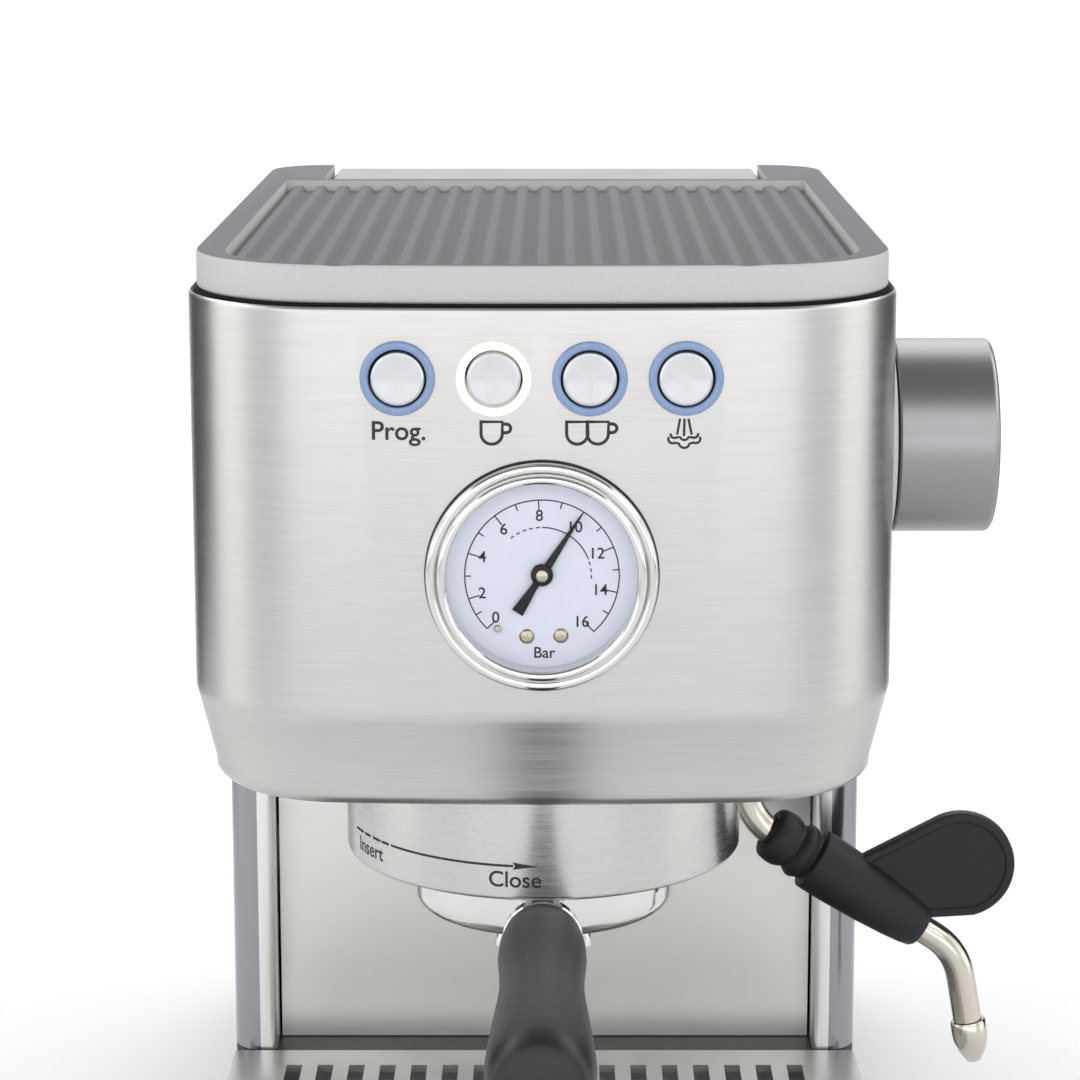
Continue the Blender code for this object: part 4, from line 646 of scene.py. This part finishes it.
middle = spot("button_one_cup")
signs = {"one_cup": cup(middle.x - 0.6, middle.z - LABEL_DROP, True)}
middle = spot("button_two_cups")
signs["two_cups"] = cup(middle.x - 3.4, middle.z - LABEL_DROP, False)
signs["two_cups"] += cup(middle.x + 2.2, middle.z - LABEL_DROP, True)
middle = spot("button_steam")
x, z = middle.x - 0.3, middle.z - LABEL_DROP
jets = [[(x - 2.0, z - 0.8), (x - 1.2, z + 3.6)], [(x - 0.1, z - 1.2), (x + 0.0, z + 3.6)],
        [(x + 2.0, z - 0.8), (x + 1.1, z + 3.6)]]
froth = [arc(x - 2.7, z - 0.6, 1.1, 170, 300, 5) + arc(x, z - 1.1, 1.2, 200, 340, 6)
         + arc(x + 2.7, z - 0.6, 1.1, 240, 370, 5),
         arc(x - 3.2, z - 2.0, 1.2, 150, 300, 5) + arc(x, z - 3.0, 1.5, 190, 350, 6)
         + arc(x + 3.2, z - 2.0, 1.2, 240, 390, 5)]
signs["steam"] = jets + froth
for word, chains in signs.items():
    width = FINE_STROKE if word == "steam" else STROKE
    sign = inked(f"label_{word}", width, *[[on_face(x, z, CROWN * width) for x, z in chain] for chain in chains])
    fitted(sign, ink, "housing", "pointer_black")

# Gauge: a rolled steel bezel, chromed and polished, with a thin near-black ring outside it and another inside,
# painted shade for the dark gaps there. It holds a flat glass over a printed card.
chrome, shader = finish("polished_chrome", "#dcdcda", Metallic=1.0, Roughness=0.07)
varied(chrome, shader, "Roughness", grain(chrome, (8, 8, 8)), 0.05, 0.1)
GAUGE = (0, 0, spot("gauge_bezel").z)
bezel_profile = [(32.0, 0.3), (32.0, 2.6)]
bezel_profile += arc(30.5, 2.9, 1.5, 0, 150, 10)
bezel_profile += [(28.9, 3.4), (28.7, 3.4)]
bezel_profile += arc(27.6, 4.4, 1.3, -20, 180, 12)
bezel_profile += [(26.3, 3.6), (26.3, -1.35), (28.0, -1.35), (28.0, 0.3)]
bezel = turned("rolled_bezel", bezel_profile, GAUGE, OUT, 128, ring=True)
fitted(bezel, chrome, "housing", "chrome", "gauge_bezel")
# painted shade: two thin near-black rings, in the feet's black rubber material, stand for the dark gaps at the bezel
for name, middle_r, wide, lift in (("outer", 32.15, 0.5, 0.4), ("inner", 28.15, 0.3, 3.55)):
    inner_r, outer_r = middle_r - wide / 2, middle_r + wide / 2
    gap_ring_profile = [(inner_r, lift - 0.5), (outer_r, lift - 0.5), (outer_r, lift), (inner_r, lift)]
    gap_strip = turned(f"bezel_gap_shade_{name}", gap_ring_profile, GAUGE, OUT, 128, ring=True)
    fitted(gap_strip, rubber_and_gap_shade, "housing", "black_rubber")

glass, shader = finish("gauge_glass", "#ffffff", Roughness=0.02, Transmission_Weight=1.0, IOR=1.01, Alpha=0.06)
varied(glass, shader, "Roughness", grain(glass, (20, 20, 20)), 0.01, 0.03)
lens = turned("gauge_glass_disc", [(0, 3.3), (25.9, 3.3), (26.1, 3.15), (26.1, 2.3), (25.9, 2.15), (0, 2.15)],
              GAUGE, OUT, 96)
fitted(lens, glass, "housing", "lens_glass", "gauge_lens")

# Dial: a white enamelled card with its scale printed in black, held by two cross-headed screws, and a pin
# that stops the pointer.
card, shader = finish("white_dial_card", "#cfd2e2", Roughness=0.5)
tinted(card, shader, grain(card, (6, 6, 6)), "#cdd0df", "#d4d7e6")
DIAL_Y = 1.4
dial = turned("dial_card", [(1.6, -DIAL_Y), (26.9, -DIAL_Y), (26.9, -DIAL_Y - 0.8), (1.6, -DIAL_Y - 0.8)],
              GAUGE, OUT, 96, ring=True)
fitted(dial, card, "housing", "dial_card", "gauge_dial")
SCALE_R = 21.3
INNER_R = 13.6
ZERO = -134.6                       # degrees clockwise from upright
TWO = -107.8
PER_BAR = 17.55


def dial_point(angle, radius, sink):
    """A point on the card at an angle clockwise from upright."""
    a = math.radians(90 - angle)
    return (GAUGE[0] + radius * math.cos(a), DIAL_Y + sink, GAUGE[2] - 0.4 + radius * math.sin(a))


def bar_angle(bar):
    """The angle of a pressure on the scale, which is closer together below 2 bar."""
    return ZERO + (TWO - ZERO) * bar / 2 if bar < 2 else TWO + PER_BAR * (bar - 2)


def sweep(radius, start, end, sink):
    """Points on the card round an arc of the scale."""
    steps = max(2, int(abs(end - start) / 4))
    return [dial_point(start + (end - start) * i / steps, radius, sink) for i in range(steps + 1)]


FINE = 0.56
sunk = CROWN * FINE
marks = [sweep(SCALE_R, ZERO, bar_angle(16), sunk)]
for bar in range(17):
    length = 3.2 if bar % 2 == 0 else 1.8
    marks.append([dial_point(bar_angle(bar), SCALE_R, sunk), dial_point(bar_angle(bar), SCALE_R - length, sunk)])
marks.append(sweep(INNER_R, 0, 70, sunk))
for i in range(5):
    marks.append(sweep(INNER_R, -39 + 8 * i, -34.5 + 8 * i, sunk))
for i in range(3):
    marks.append(sweep(INNER_R, 73 + 8 * i, 77.5 + 8 * i, sunk))
fitted(inked("dial_scale", FINE, *marks), ink, "housing", "pointer_black")
NUMBER_PLACES = {0: (-12.8, -12.3), 2: (-16.5, -5.4), 4: (-16.4, 4.8), 6: (-10.5, 12.6), 8: (-0.7, 16.4),
                 10: (9.0, 13.2), 12: (15.1, 5.8), 14: (16.0, -4.5), 16: (10.9, -13.5)}
figures = [lettered(f"figure_{bar}", str(bar), 4.4, (GAUGE[0] + dx, DIAL_Y, GAUGE[2] + dz))
           for bar, (dx, dz) in NUMBER_PLACES.items()]
figures.append(lettered("figure_bar", "Bar", 4.4, (GAUGE[0] + 0.6, DIAL_Y, GAUGE[2] - 22.3)))
only(figures[0])
for figure in figures[1:]:
    figure.select_set(True)
bpy.ops.object.join()
figures[0].name = "dial_figures"
fitted(figures[0], ink, "housing", "pointer_black")
brass, shader = finish("nickelled_brass", "#b9b3a3", Metallic=1.0, Roughness=0.3)
varied(brass, shader, "Roughness", grain(brass, (1, 1, 1)), 0.22, 0.4)
for i, (dx, dz) in enumerate(((-4.2, -17.6), (5.2, -17.4))):
    here = (GAUGE[0] + dx, DIAL_Y, GAUGE[2] + dz)
    screw = turned(f"dial_screw_{i}", [(0, 0.75), (1.1, 0.7), (1.8, 0.45), (2.15, 0), (2.15, -0.3), (0, -0.3)],
                   here, OUT, 32)
    for turn in (20 + 50 * i, 110 + 50 * i):
        bpy.ops.object.select_all(action="DESELECT")
        bpy.ops.mesh.primitive_cube_add(size=1, location=at(here[0], here[1] - 0.7, here[2]),
                                        rotation=(0, math.radians(turn), 0), scale=(2.0 * MM, 0.7 * MM, 0.4 * MM))
        cut_by(screw, bpy.context.object)
    fitted(screw, brass, "housing", "chrome")
pin = turned("stop_pin", [(0, 1.3), (0.7, 1.25), (0.95, 1.0), (0.95, -0.2), (0, -0.2)],
             (GAUGE[0] - 12.3, DIAL_Y, GAUGE[2] - 15.2), OUT, 24)
fitted(pin, brass, "housing", "chrome")

# Pointer: a blade of blackened aluminium with a broad tail, stamped from sheet, on a black hub with a
# nickelled rivet.
POINTER = 32.7
black_metal, shader = finish("blackened_aluminium", "#151517", Roughness=0.5, Metallic=0.3)
varied(black_metal, shader, "Roughness", grain(black_metal, (2, 2, 2)), 0.42, 0.56)
along = Vector((math.sin(math.radians(POINTER)), 0, math.cos(math.radians(POINTER))))
across = Vector((along.z, 0, -along.x))
blade = [(-0.22, 20.4), (-1.05, 4.5), (-1.3, 0), (-0.95, -4.2), (-1.75, -12.6)]
blade += [(-u, v) for u, v in reversed(blade)]
pivot = Vector((GAUGE[0], DIAL_Y - 1.0, GAUGE[2]))
needle = drawn("pointer_blade", [pivot + across * u + along * v for u, v in blade])
bpy.ops.mesh.edge_face_add()
bpy.ops.mesh.extrude_region_move(TRANSFORM_OT_translate={"value": (0, -0.35 * MM, 0)})
closed_up()
softened(needle, 0.08, 2, 30)
fitted(needle, black_metal, "gauge_pointer", "pointer_black", "gauge_pointer")
hub = turned("pointer_hub", [(0, 2.2 - DIAL_Y), (2.4, 2.2 - DIAL_Y), (2.9, 1.9 - DIAL_Y), (3.1, 1.4 - DIAL_Y),
                             (3.1, 0.7 - DIAL_Y), (0, 0.7 - DIAL_Y)], GAUGE, OUT, 48)
fitted(hub, black_metal, "gauge_pointer", "pointer_black")
rivet = turned("pointer_rivet", [(0, 2.75 - DIAL_Y), (1.0, 2.7 - DIAL_Y), (1.6, 2.45 - DIAL_Y),
                                 (1.75, 2.15 - DIAL_Y), (0, 2.15 - DIAL_Y)], GAUGE, OUT, 32)
fitted(rivet, brass, "gauge_pointer", "chrome")

# Steam knob: turned from aluminium bar and bead blasted, and pushed on its shaft. It leaves a shadow gap
# to the moulded base ring.
ring_low, ring_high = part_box("knob_base_ring")
knob_low, knob_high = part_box("steam_knob")
knob = spot("steam_knob")
KNOB_R = (knob_high.z - knob_low.z) / 2 / MM
base_r = (ring_high.z - ring_low.z) / 2 / MM
base_x, base_end = (ring_low.x - MIDDLE) / MM, (ring_high.x - MIDDLE) / MM
knob_start, knob_end = (knob_low.x - MIDDLE) / MM, (knob_high.x - MIDDLE) / MM
blasted, shader = finish("bead_blasted_aluminium", "#98989a", Metallic=1.0, Roughness=0.36)
varied(blasted, shader, "Roughness", grain(blasted, (0.5, 0.5, 0.5), 3.0), 0.32, 0.42)
embossed(blasted, shader, grain(blasted, (0.35, 0.35, 0.35), 3.0), 0.006)
base = turned("knob_base", [(4.9, base_end), (base_r - 1.2, base_end), (base_r - 0.4, base_end - 0.3),
                            (base_r, base_end - 1.1), (base_r, base_x), (4.9, base_x)],
              (0, knob.y, knob.z), RIGHT, 96, ring=True)
fitted(base, flake, "housing", "metallic_plastic", "knob_base_ring")
barrel_profile = [(0, knob_end - 0.5), (KNOB_R - 4.5, knob_end - 0.5), (KNOB_R - 3.9, knob_end)]
barrel_profile += arc(KNOB_R - 2, knob_end - 2, 2, 90, 0, 8)
barrel_profile += [(KNOB_R, knob_start + 0.6), (KNOB_R - 0.6, knob_start), (4.3, knob_start), (4.3, knob_end - 6),
                   (0, knob_end - 6)]
grip = turned("knob_barrel", barrel_profile, (0, knob.y, knob.z), RIGHT, 128)
fitted(grip, blasted, "steam_knob", "spun_aluminium", "steam_knob")

# Collar: stainless tube that hides the group; its lower edge is rounded and it is brushed level.
# The ink on it shows which way the handle turns.
collar_low, collar_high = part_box("group_collar")
group = spot("group_collar")
COLLAR_R = (collar_high.x - collar_low.x) / 2 / MM
COLLAR_LOW = collar_low.z / MM
GROUP = (0, group.y, 0)
collar_profile = [(COLLAR_R, collar_high.z / MM)] + arc(COLLAR_R - 1.6, COLLAR_LOW + 1.6, 1.6, 0, -90, 6)
collar_profile += arc(COLLAR_R - 6.4, COLLAR_LOW + 1.0, 1.0, -90, -180, 4) + [(COLLAR_R - 7.4, collar_high.z / MM)]
tube_steel, shader = finish("brushed_tube_steel", "#cac9c7", Metallic=1.0, Roughness=0.24, Anisotropic=0.7,
                            Anisotropic_Rotation=0.25)
lines = grain(tube_steel, (25, 25, 0.35), 3.0)
varied(tube_steel, shader, "Roughness", lines, 0.2, 0.34)
embossed(tube_steel, shader, lines, 0.006)
collar = turned("brushed_collar", collar_profile, GROUP, facets=160, ring=True)
fitted(collar, tube_steel, "housing", "brushed_steel", "group_collar")


def on_collar(angle, z, sink):
    """A point of the collar at an angle from its front, to the right, sunk below its surface."""
    a = math.radians(angle)
    return (GROUP[0] + (COLLAR_R - sink) * math.sin(a), GROUP[1] - (COLLAR_R - sink) * math.cos(a), z)


ARROW_Z = COLLAR_LOW + 10.5
dashes = [(-68, -63.2), (-61.9, -58.6), (-57.1, -53.3), (-52.5, -49.2)]
lines = [[on_collar(a + (b - a) * i / 6, ARROW_Z, 0.42) for i in range(7)] for a, b in dashes]
fitted(inked("arrow_dashes", 1.2, *lines), ink, "housing", "pointer_black")
shaft = [on_collar(-48.1 + 40 * i / 20, ARROW_Z, 0.4) for i in range(21)]
fitted(inked("arrow_shaft", 1.1, shaft), ink, "housing", "pointer_black")
head = [(-8.2, -1.05), (-1.2, 0), (-8.2, 1.05), (-7.6, 0)]
tip = drawn("arrow_head", [on_collar(a, ARROW_Z + dz, -0.15) for a, dz in head])
bpy.ops.mesh.edge_face_add()
bpy.ops.mesh.extrude_region_move(TRANSFORM_OT_translate={"value": (0, 0.45 * MM, 0)})
closed_up()
fitted(tip, ink, "housing", "pointer_black")
for word, angle, z, height in (("Insert", -59, COLLAR_LOW + 6.4, 6.2), ("Close", -7.7, COLLAR_LOW + 6.2, 6.6)):
    label = lettered(f"label_{word.lower()}", word, height, (0, 0, z), thick=0.0)
    only(label)
    bpy.ops.object.mode_set(mode="EDIT")
    bpy.ops.mesh.select_all(action="SELECT")
    bpy.ops.mesh.quads_convert_to_tris()
    bpy.ops.mesh.subdivide(number_cuts=2)
    bpy.ops.object.mode_set(mode="OBJECT")
    for point in label.data.vertices:
        across = (point.co.x - MIDDLE) / MM
        point.co = at(*on_collar(angle + math.degrees(across / COLLAR_R), point.co.z / MM, -0.03))
    fitted(modified(label, "SOLIDIFY", thickness=0.15 * MM, offset=-1), ink, "housing", "pointer_black")

# Portafilter: a turned brass bowl and neck, chromed, with a cast twin spout under it and a moulded ABS
# handle screwed to the neck.
BOWL_R = 39.6
BOWL_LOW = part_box("portafilter_bowl")[0].z / MM
SPOUT_HALF = 11
SPOUT_R = 4.2
SPOUT_BORE_R = 2.9
shoulder = COLLAR_LOW - 0.6
bowl_profile = [(33.2, shoulder + 17), (33.2, shoulder), (BOWL_R - 1.2, shoulder)]
bowl_profile += arc(BOWL_R - 1.2, shoulder - 1.2, 1.2, 90, 0, 5)
bowl_profile += arc(BOWL_R - 5, BOWL_LOW + 5, 5, 0, -90, 8)
bowl_profile += [(4, BOWL_LOW), (4, BOWL_LOW + 3.5), (29.3, BOWL_LOW + 3.5), (29.3, shoulder + 17)]
bowl = turned("chromed_bowl", bowl_profile, GROUP, facets=128, ring=True)
fitted(bowl, chrome, "portafilter", "chrome", "portafilter_bowl")
handle_low, handle_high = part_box("portafilter_handle")
handle = spot("portafilter_handle")
HANDLE_START = (handle_high.y - FRONT) / MM
length = (handle_high.y - handle_low.y) / MM
here = (0, HANDLE_START, handle.z)
neck = turned("chromed_neck", [(0, HANDLE_START - GROUP[1] + BOWL_R - 3), (7.8, HANDLE_START - GROUP[1] + BOWL_R - 3),
                               (7.2, HANDLE_START - GROUP[1] + BOWL_R + 2), (6.3, -3), (6.3, -0.6), (11.2, -0.5),
                               (11.6, 0), (11.6, 3.2), (11.2, 3.6), (0, 3.6)], here, OUT, 48)
fitted(neck, chrome, "portafilter", "chrome")
abs_black, shader = finish("black_moulded_abs", "#1c1c1e", Roughness=0.42)
varied(abs_black, shader, "Roughness", grain(abs_black, (0.7, 0.7, 0.7)), 0.36, 0.5)
embossed(abs_black, shader, grain(abs_black, (0.4, 0.4, 0.4)), 0.012)
handle_profile = [(0, 3.6), (10.6, 3.6), (11.4, 4.4), (12.3, 12), (12.5, 20), (11.9, 32), (11.6, 44), (12.2, 58),
                  (13.1, 72), (14.0, 88), (14.5, 100), (14.3, 107), (13.4, 112), (11.6, length - 1.6),
                  (8.6, length - 0.4), (0, length)]
grip = turned("moulded_handle", handle_profile, here, OUT, 64)
fitted(grip, abs_black, "portafilter", "black_plastic", "portafilter_handle")
SPOUT_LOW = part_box("portafilter_spout")[0].z / MM
spout_path = [(-SPOUT_HALF, GROUP[1], SPOUT_LOW + 0.3)]
spout_path += [(-SPOUT_HALF * math.cos(a), GROUP[1], SPOUT_LOW + 10 * math.sin(a))
               for a in [math.pi * i / 24 for i in range(1, 24)]]
spout_path.append((SPOUT_HALF, GROUP[1], SPOUT_LOW + 0.3))
spout = piped(drawn("twin_spout", spout_path), SPOUT_R, 6)
boss = turned("spout_boss", [(0, BOWL_LOW - 0.3), (8, BOWL_LOW - 0.3), (8.3, BOWL_LOW - 0.8), (8.3, BOWL_LOW - 3.4),
                             (7.4, BOWL_LOW - 5), (5.5, BOWL_LOW - 9), (0, BOWL_LOW - 9)], GROUP, facets=48)
modified(spout, "BOOLEAN", object=boss, operation="UNION", solver="EXACT")
bpy.data.objects.remove(boss, do_unlink=True)
bore_profile = [(0, SPOUT_LOW - 3), (SPOUT_BORE_R, SPOUT_LOW - 3), (SPOUT_BORE_R, SPOUT_LOW + 5), (0, SPOUT_LOW + 5)]
cut_by(spout, *[turned("bore", bore_profile, (x, GROUP[1], 0), facets=32) for x in (-SPOUT_HALF, SPOUT_HALF)])
fitted(spout, chrome, "portafilter", "chrome", "portafilter_spout")

# Steam wand: stainless tube bent over a former and polished, with a turned tip. It hangs from a ball joint
# and leans out to the right.
ball = spot("wand_socket")
TUBE_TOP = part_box("steam_tube")[1].z / MM
TIP_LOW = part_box("wand_nozzle")[0].z / MM
TIP = 14
WAND_X, WAND_Y = ball.x, ball.y
SLOPE = 33.4
BEND = 20
ARM_START = COLLAR_LOW - 6.6
ARM = 61
FALL = 80                           # the end of the tube, in degrees below level
TUBE_R = 4.5
lean = 90 - SLOPE
start_z = ARM_START + BEND * math.sin(math.radians(lean))
wand_path = [(WAND_X, TUBE_TOP - 6), (WAND_X, start_z + 8)]
wand_path += arc(WAND_X + BEND, start_z, BEND, 180, 180 + lean, 12)
arm_x, arm_z = wand_path[-1]
down_slope = Vector((math.cos(math.radians(SLOPE)), 0, -math.sin(math.radians(SLOPE))))
end_x, end_z = arm_x + ARM * down_slope.x, arm_z + ARM * down_slope.z
centre = (end_x - BEND * math.sin(math.radians(SLOPE)), end_z - BEND * math.cos(math.radians(SLOPE)))
wand_path += arc(*centre, BEND, 90 - SLOPE, 90 - FALL, 10)
last_x, last_z = wand_path[-1]
fall = Vector((math.cos(math.radians(FALL)), 0, -math.sin(math.radians(FALL))))
drop = (last_z - TIP_LOW - TIP) / -fall.z
wand_path.append((last_x + drop * fall.x, last_z + drop * fall.z))
tube = piped(drawn("polished_steam_tube", [(x, WAND_Y, z) for x, z in wand_path]), TUBE_R, 8)
polished, shader = finish("polished_stainless_tube", "#cfc9bf", Metallic=1.0, Roughness=0.16)
varied(polished, shader, "Roughness", grain(polished, (2, 2, 6)), 0.12, 0.22)
fitted(tube, polished, "steam_wand", "chrome", "steam_tube")
tip_x, tip_z = wand_path[-1]
tip_profile = [(0, TIP), (1.7, TIP), (2.3, 13.7), (4.4, 10.2), (5.5, 6.5), (5.6, 5), (5.6, 0.9), (5.2, 0.2), (0, 0.2)]
tip = turned("turned_tip", tip_profile, (tip_x, WAND_Y, tip_z), fall, 48)
fitted(tip, polished, "steam_wand", "brushed_steel", "wand_nozzle")

# Grip: black silicone rubber moulded over the arm, with two squeezed rings at its mouth and a flat
# thumb paddle that has a raised border.
grip_start = Vector((arm_x, WAND_Y, arm_z)) - down_slope * 2
grip_profile = [(4.7, 0.5), (6.0, 0)] + arc(5.9, 2.6, 2.6, -90, -20, 5)[1:]
grip_profile += [(8.75, 4.2), (8.7, 6.3), (8.1, 8.0), (7.5, 9.1), (7.5, 9.7), (8.2, 10.6), (8.85, 12.0), (8.8, 13.2),
                 (8.2, 14.4), (7.9, 15.2), (7.9, 15.9), (9.6, 16.6), (9.9, 16.9), (10.0, 17.6), (9.9, 26), (9.3, 38),
                 (8.4, 48), (7.6, 54), (6.9, 57), (6.1, 58), (4.7, 58)]
grip = turned("moulded_wand_grip", grip_profile, grip_start, down_slope, 72, ring=True)
PADDLE_R = 16.9
PADDLE_THICK = 5.2
paddle_x, paddle_z = grip_start.x + 60.3, grip_start.z - 11
root = grip_start + down_slope * 24
end = grip_start + down_slope * 52
paddle_outline = [(root.x, root.z), (end.x, end.z)] + arc(paddle_x, paddle_z, PADDLE_R, -75, 122, 40)
paddle = drawn("paddle", [(x, WAND_Y - PADDLE_THICK / 2, z) for x, z in paddle_outline])
bpy.ops.mesh.edge_face_add()
bpy.ops.mesh.extrude_region_move(TRANSFORM_OT_translate={"value": (0, PADDLE_THICK * MM, 0)})
closed_up()
bpy.ops.object.mode_set(mode="EDIT")
bpy.ops.mesh.select_all(action="DESELECT")
bpy.context.tool_settings.mesh_select_mode = (False, False, True)
bpy.ops.object.mode_set(mode="OBJECT")
for face in paddle.data.polygons:
    face.select = abs(face.normal.y) > 0.9
bpy.ops.object.mode_set(mode="EDIT")
bpy.ops.mesh.inset(thickness=2.6 * MM, depth=0)
bpy.ops.mesh.inset(thickness=0.5 * MM, depth=-0.5 * MM)
bpy.ops.object.mode_set(mode="OBJECT")
softened(paddle, 1.1, 4, 50)
modified(grip, "BOOLEAN", object=paddle, operation="UNION", solver="EXACT")
bpy.data.objects.remove(paddle, do_unlink=True)
grip_rubber, shader = finish("silicone_rubber_grip", "#18191c", Roughness=0.55, Specular_IOR_Level=0.35)
varied(grip_rubber, shader, "Roughness", grain(grip_rubber, (0.8, 0.8, 0.8)), 0.44, 0.58)
embossed(grip_rubber, shader, grain(grip_rubber, (0.45, 0.45, 0.45)), 0.015)
fitted(grip, grip_rubber, "steam_wand", "black_rubber", "wand_grip")

# The rest, inside, behind and below, keep their CAD shape and take the finish of their slot: castings,
# galvanised sheet, clear and smoked mouldings, a circuit board and a red float.
cast, shader = finish("raw_die_casting", "#8d8a84", Metallic=0.9, Roughness=0.5)
varied(cast, shader, "Roughness", grain(cast, (1.2, 1.2, 1.2)), 0.42, 0.62)
embossed(cast, shader, grain(cast, (0.8, 0.8, 0.8)), 0.04)
galvanised, shader = finish("galvanised_sheet", "#a7a9ab", Metallic=0.95, Roughness=0.4)
tinted(galvanised, shader, grain(galvanised, (9, 9, 9), 1.0), "#98999b", "#b4b6b8")
varied(galvanised, shader, "Roughness", grain(galvanised, (7, 7, 7)), 0.34, 0.5)
smoked, shader = finish("smoked_polycarbonate", "#6d7276", Roughness=0.12, Transmission_Weight=0.55, IOR=1.3)
varied(smoked, shader, "Roughness", grain(smoked, (30, 30, 30)), 0.09, 0.16)
solder_mask, shader = finish("green_solder_mask", "#1e5a34", Roughness=0.4)
tinted(solder_mask, shader, grain(solder_mask, (4, 0.5, 4)), "#194f2d", "#26683d")
silicone, shader = finish("clear_silicone_hose", "#d3d2ca", Roughness=0.45, Transmission_Weight=0.2)
tinted(silicone, shader, grain(silicone, (6, 6, 6)), "#cbcac1", "#dad9d2")
red, shader = finish("red_moulded_float", "#a01c14", Roughness=0.35)
varied(red, shader, "Roughness", grain(red, (1, 1, 1)), 0.3, 0.42)
SLOT_FINISH = {
    "brushed_steel": steel, "satin_column": satin, "chassis_steel": galvanised, "chrome": chrome,
    "spun_aluminium": blasted, "metallic_plastic": flake, "warmer_plate": paint, "black_plastic": abs_black,
    "pointer_black": black_metal, "black_rubber": rubber_and_gap_shade, "ring_blue": acrylic, "ring_lit": lit, "dial_card": card,
    "lens_glass": glass, "tank_plastic": smoked, "cast_metal": cast, "circuit_board": solder_mask,
    "silicone": silicone, "red_plastic": red}
# painted light: a near-white copy of the steel, paler than the head's, so the column's front panel reads bright in
# the head's shade
bright, shader = finish("panel_steel_painted_light", "#e4e3e0", Metallic=1.0, Roughness=0.4)
varied(bright, shader, "Roughness", grain(bright, (30, 30, 0.5)), 0.34, 0.46)
for sub in frame["record"]["subparts"]:
    part = frame["nodes"][sub["node"]]
    if not part.hide_render:
        for material_slot in part.material_slots:
            material_slot.material = SLOT_FINISH[sub["material_slot"]]
# painted light: the column's front panel takes the paler steel in place of its slot's finish
frame["nodes"]["column_front_panel"].material_slots[0].material = bright
